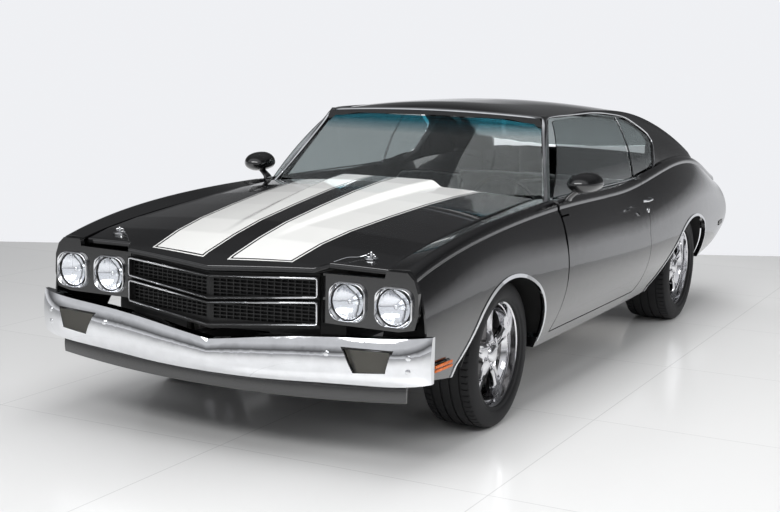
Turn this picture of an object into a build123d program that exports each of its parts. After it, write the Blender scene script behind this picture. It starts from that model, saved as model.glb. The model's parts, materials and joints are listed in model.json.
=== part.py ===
"""Two-door hardtop muscle car with a raised cowl hood, built up from its real panels.

Millimetres. +X is the car's left side, the nose points to -Y, +Z is up, and the
origin is on the ground under the middle of the car. The lower body and the
greenhouse are each one loft through cross-sections along the car. Every outer
panel is cut from those skins, so that neighbours meet across real gaps.
"""
import os
from math import cos, radians, sin

from build123d import *

os.makedirs("parts", exist_ok=True)

# Driving dimensions of the whole car
FRONT_AXLE_Y = -1535
REAR_AXLE_Y = 1310
FRONT_TYRE_R = 326
REAR_TYRE_R = 330
FRONT_TYRE_WIDTH = 245
REAR_TYRE_WIDTH = 281
FRONT_WHEEL_X = 758
REAR_WHEEL_X = 750
RIM_R = 247
NOSE_Y = -2350
TAIL_Y = 2420
GAP = 6
SEAM_X = 738
BELT_Z = 931
DOOR_INNER_X = 775
KINGPIN_X = 706

# Thickness of each kind of panel
FENDER_T = 8
HOOD_T = 20
QUARTER_T = 26
LID_T = 22
ROOF_T = 30
GLASS_T = 5

# Cross-sections of the lower body, from nose to tail, right half.
# y, sill x and z, widest point x and z, crest x and z, seam x and z, top z at the middle
BODY_SECTIONS = (
    (-2350, 880, 380, 905, 600, 862, 805, 735, 800, 812),
    (-2000, 885, 330, 922, 612, 870, 872, 737, 852, 868),
    (-1535, 888, 300, 932, 620, 873, 915, 738, 892, 915),
    (-1000, 888, 290, 945, 630, 866, 934, 738, 925, 958),
    (-400, 890, 288, 953, 632, 858, 932, 700, 934, 962),
    (300, 890, 290, 955, 638, 850, 930, 690, 936, 965),
    (900, 890, 302, 955, 655, 842, 978, 680, 985, 1000),
    (1310, 888, 320, 948, 665, 832, 1003, 670, 1000, 1015),
    (1700, 880, 345, 930, 668, 820, 985, 660, 975, 1000),
    (2100, 866, 380, 900, 668, 802, 905, 650, 915, 945),
    (2420, 838, 425, 856, 690, 785, 820, 640, 840, 868),
)
CREST_ROLL = 45


def body_section(row, inset=0, below=0):
    """One closed cross-section of the body, taken in by inset and let down by below."""
    y, sill_x, sill_z, wide_x, wide_z, crest_x, crest_z, seam_x, seam_z, top_z = row
    sill_x, wide_x, crest_x = sill_x - inset, wide_x - inset, crest_x - inset
    crest_z, seam_z, top_z = crest_z - inset, seam_z - inset, top_z - inset
    side_top = Vector(crest_x, crest_z - CREST_ROLL)
    crest = Vector(crest_x - CREST_ROLL * 0.27, crest_z - CREST_ROLL * 0.27)
    inner = Vector(crest_x - CREST_ROLL, crest_z)
    with BuildSketch(Plane.XZ.offset(-y)) as sketch:
        with BuildLine() as half:
            ThreePointArc((0, top_z), (seam_x / 2, seam_z + (top_z - seam_z) * 0.75), (seam_x, seam_z))
            Line((seam_x, seam_z), inner)
            ThreePointArc(inner, crest, side_top)
            ThreePointArc(side_top, (wide_x, wide_z), (sill_x, sill_z))
            if below:
                Line((sill_x, sill_z), (sill_x, sill_z - below))
            Line((sill_x, sill_z - below), (0, sill_z - below))
            mirror(about=Plane.YZ)
        make_face()
    return sketch.sketch


def body_loft(inset=0, below=0):
    """The whole lower body as one solid. With an inset it is the inside of a panel."""
    with BuildPart() as form:
        for row in BODY_SECTIONS:
            add(body_section(row, inset, below))
        loft()
    return form.part


BODY = body_loft()


# Cross-sections of the greenhouse, right half.
# y, rail x and z, crown z
ROOF_SECTIONS = (
    (-470, 604, 1298, 1322),
    (0, 622, 1312, 1355),
    (400, 622, 1312, 1355),
    (800, 634, 1290, 1328),
    (1120, 662, 1240, 1264),
    (1380, 708, 1164, 1166),
    (1650, 764, 1050, 1012),
    (1820, 794, 964, 925),
)
ROOF_FOOT_X = 806
ROOF_FOOT_Z = 900
RAIL_ROLL = 26


def roof_section(row, inset=0, below=0):
    """One closed cross-section of the greenhouse, tumblehome side, rail and crown."""
    y, rail_x, rail_z, crown_z = row
    foot = Vector(ROOF_FOOT_X - inset, ROOF_FOOT_Z)
    side = Vector(rail_x + RAIL_ROLL * 0.5 - inset, rail_z - RAIL_ROLL - inset * 0.5)
    rail = Vector(rail_x - inset, rail_z - inset)
    bulge = (foot + side) * 0.5 + Vector(1, 0.4) * (rail_z - ROOF_FOOT_Z) * 0.06
    with BuildSketch(Plane.XZ.offset(-y)) as sketch:
        with BuildLine():
            ThreePointArc((0, crown_z - inset), (rail.X / 2, rail_z + (crown_z - rail_z) * 0.75 - inset), rail)
            Line(rail, side)
            ThreePointArc(side, bulge, foot)
            if below:
                Line(foot, foot - Vector(0, below))
            Line(foot - Vector(0, below), (0, ROOF_FOOT_Z - below))
            mirror(about=Plane.YZ)
        make_face()
    return sketch.sketch


def roof_loft(inset=0, below=0):
    """The whole greenhouse as one solid. With an inset it is the inside of the roof or of its glass."""
    with BuildPart() as form:
        for row in ROOF_SECTIONS:
            add(roof_section(row, inset, below))
        loft()
    return form.part


ROOF = roof_loft()


def save(part, name):
    """Labels one finished piece and writes it."""
    part.label = name
    export_step(part, f"parts/{name}.step")


def save_pair(part, name):
    """Writes a left piece and its mirror image."""
    save(part, f"{name}_left")
    save(mirror(part, about=Plane.YZ), f"{name}_right")


def both_sides(*parts):
    """Left pieces and their mirror images in one node."""
    with BuildPart() as pair:
        for part in parts:
            add(part)
            add(mirror(part, about=Plane.YZ))
    return pair.part


def block(low, high):
    """A plain box between two corners."""
    with BuildPart() as box:
        with Locations(tuple((a + b) / 2 for a, b in zip(low, high))):
            Box(*(abs(b - a) for a, b in zip(low, high)))
    return box.part


def side_prism(outline, inner_x, outer_x):
    """A prism across the car from a closed outline in y and z. An item with three points is an arc."""
    with BuildPart() as prism:
        with BuildSketch(Plane.YZ.offset(inner_x)):
            with BuildLine():
                for points in outline:
                    if len(points) == 3:
                        ThreePointArc(*points)
                    else:
                        Line(*points)
            make_face()
        extrude(amount=outer_x - inner_x)
    return prism.part


def joined(*points):
    """Straight runs through a list of points."""
    return list(zip(points[:-1], points[1:]))


# The door's front and rear edges in y and z, from the top down. Both sweep forward at the bottom.
DOOR_TOP_Z = 1010
DOOR_BOTTOM_Z = 346
DOOR_FRONT = ((-803, DOOR_TOP_Z), (-882, 700), (-938, 505), (-1034, DOOR_BOTTOM_Z))
DOOR_REAR = ((566, DOOR_TOP_Z), (386, 645), (346, 455), (205, DOOR_BOTTOM_Z))


def door_prism(grow, inner_x, outer_x):
    """The door's outline, wider by grow at both edges and below."""
    front_top, front_bend, front_arc, front_foot = ((y - grow, z) for y, z in DOOR_FRONT)
    rear_top, rear_bend, rear_arc, rear_foot = ((y + grow, z) for y, z in DOOR_REAR)
    front_foot, rear_foot = (front_foot[0], DOOR_BOTTOM_Z - grow), (rear_foot[0], DOOR_BOTTOM_Z - grow)
    outline = [(front_top, front_bend), (front_bend, front_arc, front_foot), (front_foot, rear_foot),
               (rear_foot, rear_arc, rear_bend), (rear_bend, rear_top), (rear_top, front_top)]
    return side_prism(outline, inner_x, outer_x)


# Wheel openings in y and z from the axle: foot ahead, shoulder, crown, back, heel, foot behind
FRONT_ARCH = ((-520, 385), (-330, 560), (-60, 666), (262, 590), (352, 470), (318, 240))
REAR_ARCH = ((-760, 322), (-330, 540), (20, 645), (294, 590), (376, 500), (300, 240))
ARCH_CENTRE_Z = 330


def arch_prism(axle_y, points, inner_x=560, outer_x=1060, grow=0):
    """A wheel opening as a prism through the car's left side, wider by grow all round."""
    centre = Vector(axle_y, ARCH_CENTRE_Z)
    spots = [Vector(axle_y + y, z) for y, z in points]
    foot, shoulder, crown, back, heel, rear_foot = (p + (p - centre).normalized() * grow for p in spots)
    low_rear, low_front = Vector(rear_foot.X, 100), Vector(foot.X - 60, 100)
    outline = [(foot, shoulder), (shoulder, crown, back), (back, heel, rear_foot),
               (rear_foot, low_rear), (low_rear, low_front), (low_front, foot)]
    return side_prism(outline, inner_x, outer_x)


# The door turns on an upright pin inside the fender. What stands ahead of the door keeps clear
# of its sweep: z, radius of the door's front outer corner about the pin
HINGE_X = 835
HINGE_Y = -786
HINGE_PIN_R = 9
HINGE_ZS = (530, 830)
HINGE_SWEEP = ((325, 266), (346, 266), (430, 215), (520, 188), (640, 164), (760, 136), (860, 90), (937, 78))
with BuildPart() as swept:
    with BuildSketch(Plane.XZ.offset(-HINGE_Y)):
        with BuildLine():
            Polyline((HINGE_X, 325), *((HINGE_X + radius, z) for z, radius in HINGE_SWEEP), (HINGE_X, 937),
                     close=True)
        make_face()
    revolve(axis=Axis((HINGE_X, HINGE_Y, 0), (0, 0, 1)))
DOOR_SWEEP = swept.part

DOOR_HOLE = door_prism(GAP, 600, 1050)
FRONT_HOLE = arch_prism(FRONT_AXLE_Y, FRONT_ARCH)
REAR_HOLE = arch_prism(REAR_AXLE_Y, REAR_ARCH)
FENDER_INSIDE = body_loft(FENDER_T, 60)
QUARTER_INSIDE = body_loft(QUARTER_T, 60)
ROCKER_TOP_Z = DOOR_BOTTOM_Z - GAP

# Front fender: open at its wheel and underneath
COWL_Y = -806
with BuildPart() as fender:
    add(BODY)
    add(block((SEAM_X + GAP / 2, NOSE_Y, 200), (1000, COWL_Y, 1000)), mode=Mode.INTERSECT)
    add(FRONT_HOLE, mode=Mode.SUBTRACT)
    add(DOOR_HOLE, mode=Mode.SUBTRACT)
    add(DOOR_SWEEP, mode=Mode.SUBTRACT)
    add(block((600, FRONT_AXLE_Y + 300, 200), (1000, COWL_Y, ROCKER_TOP_Z)), mode=Mode.SUBTRACT)
    add(FENDER_INSIDE, mode=Mode.SUBTRACT)
save_pair(fender.part, "fender")

# Door: one wall from the skin to its inner face, with a slot for the glass and two hinge notches
SLOT_LOW_X, SLOT_HIGH_X = 785, 813
NOTCH = 34
with BuildPart() as door:
    add(BODY)
    add(door_prism(0, DOOR_INNER_X, 1050), mode=Mode.INTERSECT)
    add(block((DOOR_INNER_X, -1100, 300), (880, HINGE_Y - 92, 720)), mode=Mode.SUBTRACT)
    add(block((700, -1100, BELT_Z), (1000, 700, DOOR_TOP_Z)), mode=Mode.SUBTRACT)
    add(block((SLOT_LOW_X, -760, 870), (SLOT_HIGH_X, 512, 960)), mode=Mode.SUBTRACT)
    for z in HINGE_ZS:
        add(block((DOOR_INNER_X - 10, -900, z - NOTCH), (882, HINGE_Y + 40, z + NOTCH)), mode=Mode.SUBTRACT)
        with Locations((HINGE_X, HINGE_Y, z)):
            Cylinder(HINGE_PIN_R, 2 * NOTCH)
save_pair(door.part, "door")

# Hinge pillar at the front of each door, with the two eyes that its pins turn in
PILLAR = ((690, -880, 312), (742, -770, 838))
with BuildPart() as pillar:
    add(block(*PILLAR))
    add(DOOR_SWEEP, mode=Mode.SUBTRACT)
    for z in HINGE_ZS:
        with BuildSketch(Plane.XY.offset(z - NOTCH + 8)):
            with BuildLine():
                Polyline((735, -850), (HINGE_X - 6, HINGE_Y - 13), (HINGE_X - 12, HINGE_Y + 9), (720, -835),
                         close=True)
            make_face()
            with Locations((HINGE_X, HINGE_Y)):
                Circle(18)
                Circle(HINGE_PIN_R + 0.4, mode=Mode.SUBTRACT)
        extrude(amount=2 * NOTCH - 16)
save(both_sides(pillar.part), "hinge_pillars")

# Side glass: one curved sheet, cut to the window openings of the door and of the quarter
GLASS_BASE_Z = BELT_Z - 55
DOOR_WINDOW = ((-735, GLASS_BASE_Z), (-742, 945), (-400, 1278), (-330, 1286), (300, 1286), (552, 1272),
               (497, GLASS_BASE_Z), (-735, GLASS_BASE_Z))
QUARTER_WINDOW = ((524, GLASS_BASE_Z), (572, 1271), (760, 1240), (985, 1148), (1000, 1110), (915, 1000),
                  (760, 945), (740, GLASS_BASE_Z), (524, GLASS_BASE_Z))


def side_glass(outline):
    """The curved side glass inside one window outline."""
    inward = Vector(GLASS_T, 0)
    foot, middle, head = Vector(807, 860), Vector(745, 1105), Vector(632, 1300)
    with BuildPart() as pane:
        with BuildSketch(Plane.XZ.offset(-1150)):
            with BuildLine():
                ThreePointArc(foot, middle, head)
                Line(head, head - inward)
                ThreePointArc(head - inward, middle - inward, foot - inward)
                Line(foot - inward, foot)
            make_face()
        extrude(amount=2000)
        add(side_prism(joined(*outline), 500, 1000), mode=Mode.INTERSECT)
    return pane.part


save_pair(side_glass(DOOR_WINDOW), "door_glass")
save(both_sides(side_glass(QUARTER_WINDOW)), "quarter_glass")

# Roof: its skin with the rails over the side windows. The side window is one long opening.
SIDE_OPENING = ((-900, 860), (-900, 990), (-775, 960), (-748, 962), (-408, 1296), (300, 1296), (760, 1256),
                (1004, 1160), (1020, 1108), (930, 985), (752, 931), (740, 860), (-900, 860))
WINDOW_HOLE = side_prism(joined(*SIDE_OPENING), 500, 1000)
BACK_WINDOW = ((540, 1108), (625, 1600))
(BACK_TOP_X, BACK_TOP_Y), (BACK_LOW_X, BACK_LOW_Y) = BACK_WINDOW


def back_prism(shrink):
    """The rear window's plan outline as a prism, smaller by shrink all round."""
    top_x, top_y, low_x, low_y = BACK_TOP_X - shrink, BACK_TOP_Y + shrink, BACK_LOW_X - shrink, BACK_LOW_Y - shrink
    with BuildPart() as prism:
        with BuildSketch(Plane.XY.offset(900)):
            with BuildLine():
                ThreePointArc((-top_x, top_y), (0, top_y - 30), (top_x, top_y))
                Line((top_x, top_y), (low_x, low_y))
                ThreePointArc((low_x, low_y), (0, low_y + 25), (-low_x, low_y))
                Line((-low_x, low_y), (-top_x, top_y))
            make_face()
        extrude(amount=440)
    return prism.part


BACK_HOLE = back_prism(0)
ROOF_INSIDE = roof_loft(ROOF_T, 60)
SAIL_LOW, SAIL_HIGH = (530, 760, 945), (900, 1640, 1400)
SAIL_TAIL = ((760, 945), (1580, 945), (1600, 975), (1774, 954), (1668, 1100), (1640, 1400), (760, 1400), (760, 945))
DECK_FRONT_Y = 1640
HEADER_Y = -470
with BuildPart() as roof:
    add(ROOF)
    add(block((-900, HEADER_Y, 1100), (900, BACK_TOP_Y, 1400)), mode=Mode.INTERSECT)
    add(WINDOW_HOLE, mode=Mode.SUBTRACT)
    add(mirror(WINDOW_HOLE, about=Plane.YZ), mode=Mode.SUBTRACT)
    add(BACK_HOLE, mode=Mode.SUBTRACT)
    add(block(SAIL_LOW, SAIL_HIGH), mode=Mode.SUBTRACT)
    add(mirror(block(SAIL_LOW, SAIL_HIGH), about=Plane.YZ), mode=Mode.SUBTRACT)
    add(ROOF_INSIDE, mode=Mode.SUBTRACT)

# Rear quarter: from the door to the tail, with its sail up to the roof
DECK_SEAM_X = 636
CABIN_REAR_Y = 1600
with BuildPart() as sail:
    add(ROOF)
    add(side_prism(joined(*SAIL_TAIL), SAIL_LOW[0], SAIL_HIGH[0]), mode=Mode.INTERSECT)
    add(WINDOW_HOLE, mode=Mode.SUBTRACT)
    add(BACK_HOLE, mode=Mode.SUBTRACT)
    add(block((500, DECK_FRONT_Y, 900), (DECK_SEAM_X + GAP, 1900, 1400)), mode=Mode.SUBTRACT)
    with BuildPart(mode=Mode.PRIVATE) as sail_inside:
        add(ROOF_INSIDE)
        add(block((0, 700, 800), (900, 1590, 1400)), mode=Mode.INTERSECT)
    add(sail_inside.part, mode=Mode.SUBTRACT)
with BuildPart() as quarter:
    add(BODY)
    add(block((DECK_SEAM_X + GAP, 180, 200), (1000, TAIL_Y, 1100)), mode=Mode.INTERSECT)
    add(REAR_HOLE, mode=Mode.SUBTRACT)
    add(DOOR_HOLE, mode=Mode.SUBTRACT)
    add(block((600, 100, 200), (1000, REAR_AXLE_Y - 760, ROCKER_TOP_Z)), mode=Mode.SUBTRACT)
    add(QUARTER_INSIDE, mode=Mode.SUBTRACT)
    add(block((600, 100, 700), (DOOR_INNER_X, CABIN_REAR_Y, 1100)), mode=Mode.SUBTRACT)
    add(block((SLOT_LOW_X, 500, 860), (SLOT_HIGH_X, 1040, 1000)), mode=Mode.SUBTRACT)
    add(block((DOOR_INNER_X - 5, 500, 930), (SLOT_HIGH_X, 1040, 1000)), mode=Mode.SUBTRACT)
    add(sail.part)
save_pair(quarter.part, "quarter_panel")

# Rocker under each door
with BuildPart() as rocker:
    add(BODY)
    add(block((770, FRONT_AXLE_Y + 355, 200), (1000, REAR_AXLE_Y - 760, ROCKER_TOP_Z)), mode=Mode.INTERSECT)
save(both_sides(rocker.part), "rocker_panels")

# Hood: a crowned skin with the cowl bulge along its middle
# y, half width, edge z, middle z
HOOD_SECTIONS = (
    (-2500, 770, 750, 764),
    (-2400, 770, 782, 796),
    (-2200, 770, 824, 840),
    (-2000, 770, 850, 868),
    (-1535, 770, 890, 915),
    (-1150, 770, 916, 948),
    (-840, 770, 930, 964),
)
# y, half width at its foot, half width of its flat top, height over the hood's middle
BULGE_SECTIONS = (
    (-2140, 150, 120, -14),
    (-2020, 196, 158, 6),
    (-1700, 238, 196, 22),
    (-1300, 275, 226, 36),
    (-930, 305, 252, 46),
)
HOOD_FRONT = ((732, -2338), (490, -2358), (452, -2418), (0, -2490))
HOOD_REAR = ((735, -856), (0, -985))
HOOD_HINGE_Y = -846
HOOD_HINGE_Z = 886
PIN_X, PIN_Y, PIN_Z = 618, -2262, 822


def hood_band(y, half_width, edge_z, middle_z, top_gap, thickness):
    """One cross-section of the hood between its top and its underside."""
    top = edge_z - top_gap
    with BuildSketch(Plane.XZ.offset(-y)) as sketch:
        with BuildLine():
            ThreePointArc((-half_width, top), (0, middle_z - top_gap), (half_width, top))
            Line((half_width, top), (half_width, top - thickness))
            ThreePointArc((half_width, top - thickness), (0, middle_z - top_gap - thickness),
                          (-half_width, top - thickness))
            Line((-half_width, top - thickness), (-half_width, top))
        make_face()
    return sketch.sketch


def hood_middle(y):
    """Height of the hood's middle line at y, between the section rows."""
    for (y0, _, _, z0), (y1, _, _, z1) in zip(HOOD_SECTIONS[:-1], HOOD_SECTIONS[1:]):
        if y0 <= y <= y1:
            return z0 + (z1 - z0) * (y - y0) / (y1 - y0)
    return HOOD_SECTIONS[-1][3]


with BuildPart() as hood_outline:
    with BuildSketch(Plane.XY.offset(600)):
        with BuildLine():
            Polyline((0, HOOD_FRONT[3][1]), *HOOD_FRONT[2::-1], HOOD_REAR[0])
            Line(HOOD_REAR[0], (500, -915))
            Line((500, -915), (0, HOOD_REAR[1][1]))
            mirror(about=Plane.YZ)
        make_face()
    extrude(amount=500)
with BuildPart() as hood:
    for row in HOOD_SECTIONS:
        add(hood_band(*row, 0, HOOD_T))
    loft()
with BuildPart() as bulge:
    for y, foot_x, top_x, height in BULGE_SECTIONS:
        base_z = hood_middle(y) - HOOD_T
        with BuildSketch(Plane.XZ.offset(-y)):
            with BuildLine():
                top_z = hood_middle(y) + height
                Line((-foot_x, base_z), (foot_x, base_z))
                ThreePointArc((foot_x, base_z), (foot_x * 0.93, base_z + (top_z - base_z) * 0.6), (top_x, top_z))
                ThreePointArc((top_x, top_z), (0, top_z + 6), (-top_x, top_z))
                ThreePointArc((-top_x, top_z), (-foot_x * 0.93, base_z + (top_z - base_z) * 0.6), (-foot_x, base_z))
            make_face()
    loft()
with BuildPart() as bonnet:
    add(hood.part)
    add(bulge.part)
    add(hood_outline.part, mode=Mode.INTERSECT)
    for side in (1, -1):
        add(block((side * 700 - 8, HOOD_HINGE_Y - 70, HOOD_HINGE_Z - 8), (side * 700 + 8, HOOD_HINGE_Y, 918)))
        with BuildSketch(Plane.YZ.offset(side * 700 - 8)):
            with Locations((HOOD_HINGE_Y, HOOD_HINGE_Z)):
                Circle(12)
        extrude(amount=16)
        with BuildSketch(Plane.YZ.offset(side * 700 - 20)):
            with Locations((HOOD_HINGE_Y, HOOD_HINGE_Z)):
                Circle(6)
        extrude(amount=40)
        with Locations((side * PIN_X, PIN_Y, PIN_Z)):
            Cylinder(26, 8)
            Cylinder(6, 44)
save(bonnet.part, "hood")

# Cowl: the tray between the hood and the windshield, with the forks that carry the hood hinges
WINDSHIELD_BASE = ((760, -758), (0, -930), 934)
WINDSHIELD_TOP = ((604, -418), (0, -488), 1304)
with BuildPart() as cowl:
    with BuildSketch(Plane.XY.offset(868)):
        with BuildLine():
            (base_x, base_y), (_, base_mid), _ = WINDSHIELD_BASE
            ThreePointArc((-base_x, base_y), (0, base_mid), (base_x, base_y))
            Line((base_x, base_y), (735, -830))
            Line((735, -830), (500, -890))
            ThreePointArc((500, -890), (0, -1000), (-500, -890))
            Line((-500, -890), (-735, -830))
            Line((-735, -830), (-base_x, base_y))
        make_face()
    extrude(amount=40)
    for side in (1, -1):
        add(block((side * 700 - 30, HOOD_HINGE_Y - 40, 840), (side * 700 + 30, HOOD_HINGE_Y + 60, 920)),
            mode=Mode.SUBTRACT)
        for edge in (-22, 14):
            with BuildSketch(Plane.YZ.offset(side * 700 + edge)):
                with BuildLine():
                    Polyline((-780, 872), (-780, 898), (HOOD_HINGE_Y, HOOD_HINGE_Z + 12),
                             (HOOD_HINGE_Y, HOOD_HINGE_Z - 12), close=True)
                make_face()
                with Locations((HOOD_HINGE_Y, HOOD_HINGE_Z)):
                    Circle(12)
                    Circle(6.4, mode=Mode.SUBTRACT)
            extrude(amount=8)
    add(DOOR_SWEEP, mode=Mode.SUBTRACT)
    add(mirror(DOOR_SWEEP, about=Plane.YZ), mode=Mode.SUBTRACT)
save(cowl.part, "cowl_panel")

# Windshield: ruled between a long curve at the cowl and a short one under the roof
def crescent(corner, middle, z, thickness):
    """A band of glass in plan at one height."""
    with BuildSketch(Plane.XY.offset(z)) as sketch:
        with BuildLine():
            ThreePointArc((-corner[0], corner[1]), middle, corner)
            Line(corner, (corner[0], corner[1] + thickness))
            ThreePointArc((corner[0], corner[1] + thickness), (middle[0], middle[1] + thickness),
                          (-corner[0], corner[1] + thickness))
            Line((-corner[0], corner[1] + thickness), (-corner[0], corner[1]))
        make_face()
    return sketch.sketch


with BuildPart() as windshield:
    add(crescent(*WINDSHIELD_BASE, 8))
    add(crescent(*WINDSHIELD_TOP, 8))
    loft(ruled=True)
    add(block((-900, -1000, 940), (900, -300, 1288)), mode=Mode.INTERSECT)
    add(roof.part, mode=Mode.SUBTRACT)
save(windshield.part, "windshield")

# Windshield posts, from the cowl to the roof, in one piece with it
with BuildPart() as post:
    for x, y, z, wide, deep in ((762, -750, 908, 24, 46), (608, -410, 1306, 22, 40)):
        with BuildSketch(Plane.XY.offset(z)):
            with Locations((x, y)):
                Rectangle(wide, deep)
    loft(ruled=True)
with BuildPart() as roof_and_posts:
    add(roof.part)
    add(post.part)
    add(mirror(post.part, about=Plane.YZ))
    add(windshield.part, mode=Mode.SUBTRACT)
    add(DOOR_SWEEP, mode=Mode.SUBTRACT)
    add(mirror(DOOR_SWEEP, about=Plane.YZ), mode=Mode.SUBTRACT)
save(roof_and_posts.part.solids().sort_by(SortBy.VOLUME)[-1], "roof_panel")

# Rear window: the greenhouse skin a little below the surface, inside its opening
with BuildPart() as back_glass:
    add(roof_loft(8))
    add(back_prism(4), mode=Mode.INTERSECT)
    add(roof_loft(8 + GLASS_T, 60), mode=Mode.SUBTRACT)
save(back_glass.part, "rear_window")

# Deck between the rear window and the trunk, and the trunk lid
LID_FRONT_Y = 1702
LID_REAR_Y = 2404
with BuildPart() as deck_blank:
    add(block((-DECK_SEAM_X - GAP, DECK_FRONT_Y + 0.5, 800), (DECK_SEAM_X + GAP, LID_FRONT_Y - GAP, 1100)))
    add(block((-SAIL_LOW[0] + 0.5, BACK_LOW_Y - 30, 800), (SAIL_LOW[0] - 0.5, LID_FRONT_Y - GAP, 1100)))
with BuildPart() as deck:
    add(BODY)
    add(deck_blank.part, mode=Mode.INTERSECT)
    add(BACK_HOLE, mode=Mode.SUBTRACT)
    add(body_loft(LID_T, 60), mode=Mode.SUBTRACT)
save(deck.part, "rear_deck")

LID_HINGE_Y = 1552
LID_HINGE_Z = 952
LID_HINGE_X = 560
LID_ARM_R = 168
with BuildPart() as lid:
    add(BODY)
    add(block((-DECK_SEAM_X, LID_FRONT_Y, 740), (DECK_SEAM_X, LID_REAR_Y, 1100)), mode=Mode.INTERSECT)
    with BuildPart(mode=Mode.PRIVATE) as lid_inside:
        add(body_loft(LID_T, 60))
        add(block((-900, LID_FRONT_Y - 50, 300), (900, LID_REAR_Y - LID_T, 1100)), mode=Mode.INTERSECT)
    add(lid_inside.part, mode=Mode.SUBTRACT)
    for side in (1, -1):
        with BuildSketch(Plane.YZ.offset(side * LID_HINGE_X - 7)):
            with Locations((LID_HINGE_Y, LID_HINGE_Z)):
                Circle(LID_ARM_R + 14)
                Circle(LID_ARM_R, mode=Mode.SUBTRACT)
                with Locations((-200, 0)):
                    Rectangle(400, 400, mode=Mode.SUBTRACT)
                with Locations((200, 205)):
                    Rectangle(400, 400, mode=Mode.SUBTRACT)
            with BuildLine():
                low = Vector(LID_HINGE_Y, LID_HINGE_Z - LID_ARM_R - 2)
                Polyline((LID_HINGE_Y - 8, LID_HINGE_Z), (LID_HINGE_Y + 8, LID_HINGE_Z), low + Vector(8, 0),
                         low + Vector(-8, 0), close=True)
            make_face()
            with Locations((LID_HINGE_Y, LID_HINGE_Z)):
                Circle(14)
        extrude(amount=14)
save(lid.part, "trunk_lid")

# Headlamp panels between the grille and each fender, standing on the fenders' front edges
PANEL_Y = -2352
PANEL_T = 24
LAMP_Z = 660
LAMP_XS = (580, 781)
LAMP_R = 73
PANEL_OUTLINE = ((468, 566), (800, 566), (868, 580), (884, 640), (880, 720), (862, 770), (834, 796), (744, 796),
                 (738, 766), (468, 762))
with BuildPart() as lamp_panel:
    with BuildSketch(Plane.XZ.offset(-PANEL_Y)):
        with BuildLine():
            Polyline(*PANEL_OUTLINE, close=True)
        make_face()
        with Locations(*((x, LAMP_Z) for x in LAMP_XS)):
            Circle(LAMP_R + 4, mode=Mode.SUBTRACT)
    extrude(amount=PANEL_T)
    with BuildSketch(Plane.XZ.offset(-PANEL_Y + PANEL_T)):
        with Locations(*((x, LAMP_Z) for x in LAMP_XS)):
            RectangleRounded(164, 158, 52)
            Circle(LAMP_R + 4, mode=Mode.SUBTRACT)
    extrude(amount=14, taper=18)
save(both_sides(lamp_panel.part), "headlamp_panels")

LENS_Y = PANEL_Y - PANEL_T - 2
with BuildPart() as lamps:
    with BuildSketch(Plane.XZ.offset(-PANEL_Y - 20)):
        with Locations(*((x, LAMP_Z) for x in LAMP_XS)):
            Circle(50)
    extrude(amount=24, taper=-43.8)
    with BuildSketch(Plane.XZ.offset(-LENS_Y - 22)):
        with Locations(*((x, LAMP_Z) for x in LAMP_XS)):
            Circle(LAMP_R)
    extrude(amount=22)
    with BuildSketch(Plane.XZ.offset(-LENS_Y)):
        with Locations(*((x, LAMP_Z) for x in LAMP_XS)):
            Circle(LAMP_R)
    extrude(amount=10, taper=62)
save(both_sides(lamps.part), "headlamps")

# Grille: two stacked frames over a mesh, each half a flat plane, swept back from the middle
GRILLE_NOSE_Y = -2472
GRILLE_END_X, GRILLE_END_Y = 458, -2384
GRILLE_RUN = Vector(GRILLE_END_X, GRILLE_END_Y - GRILLE_NOSE_Y, 0)
GRILLE_PLANE = Plane(origin=(0, GRILLE_NOSE_Y, 0), x_dir=GRILLE_RUN.normalized(),
                     z_dir=(GRILLE_RUN.Y, -GRILLE_RUN.X, 0))
GRILLE_LENGTH = GRILLE_RUN.length
# bottom and top z at the middle, bottom and top z at the end
GRILLE_FRAMES = ((630, 728, 664, 748), (522, 620, 556, 652))
FRAME_BAR = 9
MESH_PITCH_S, MESH_PITCH_Z = 29, 15
with BuildPart() as frames:
    for low_mid, top_mid, low_end, top_end in GRILLE_FRAMES:
        with BuildSketch(GRILLE_PLANE):
            with BuildLine():
                Polyline((-4, low_mid), (-4, top_mid), (GRILLE_LENGTH, top_end), (GRILLE_LENGTH, low_end), close=True)
            make_face()
            with BuildLine():
                Polyline((-4, low_mid + FRAME_BAR), (-4, top_mid - FRAME_BAR),
                         (GRILLE_LENGTH - FRAME_BAR, top_end - FRAME_BAR),
                         (GRILLE_LENGTH - FRAME_BAR, low_end + FRAME_BAR), close=True)
            make_face(mode=Mode.SUBTRACT)
        extrude(amount=22)

with BuildPart() as mesh:
    with BuildSketch(GRILLE_PLANE):
        with BuildLine():
            Polyline((-4, 508), (-4, 738), (GRILLE_LENGTH, 758), (GRILLE_LENGTH, 542), close=True)
        make_face()
        with Locations((GRILLE_LENGTH / 2, 640)):
            with GridLocations(MESH_PITCH_S, MESH_PITCH_Z, 15, 12):
                Rectangle(MESH_PITCH_S - 4, MESH_PITCH_Z - 4, mode=Mode.SUBTRACT)
    extrude(amount=-6)
    add(frames.part)
    split(bisect_by=Plane.YZ, keep=Keep.TOP)
    mirror(about=Plane.YZ)
save(mesh.part, "grille")


def cross_band(rows):
    """A bar across the car, lofted through side-view sections. Each row: x, outer y, depth, low z, top z, bow."""
    with BuildPart() as bar:
        for x, y, depth, low_z, top_z, bow in rows:
            with BuildSketch(Plane.YZ.offset(x)):
                with BuildLine():
                    ThreePointArc((y, low_z), (y - bow, (low_z + top_z) / 2), (y, top_z))
                    Line((y, top_z), (y + depth, top_z))
                    Line((y + depth, top_z), (y + depth, low_z))
                    Line((y + depth, low_z), (y, low_z))
                make_face()
        loft()
        mirror(about=Plane.YZ)
    return bar.part


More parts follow.
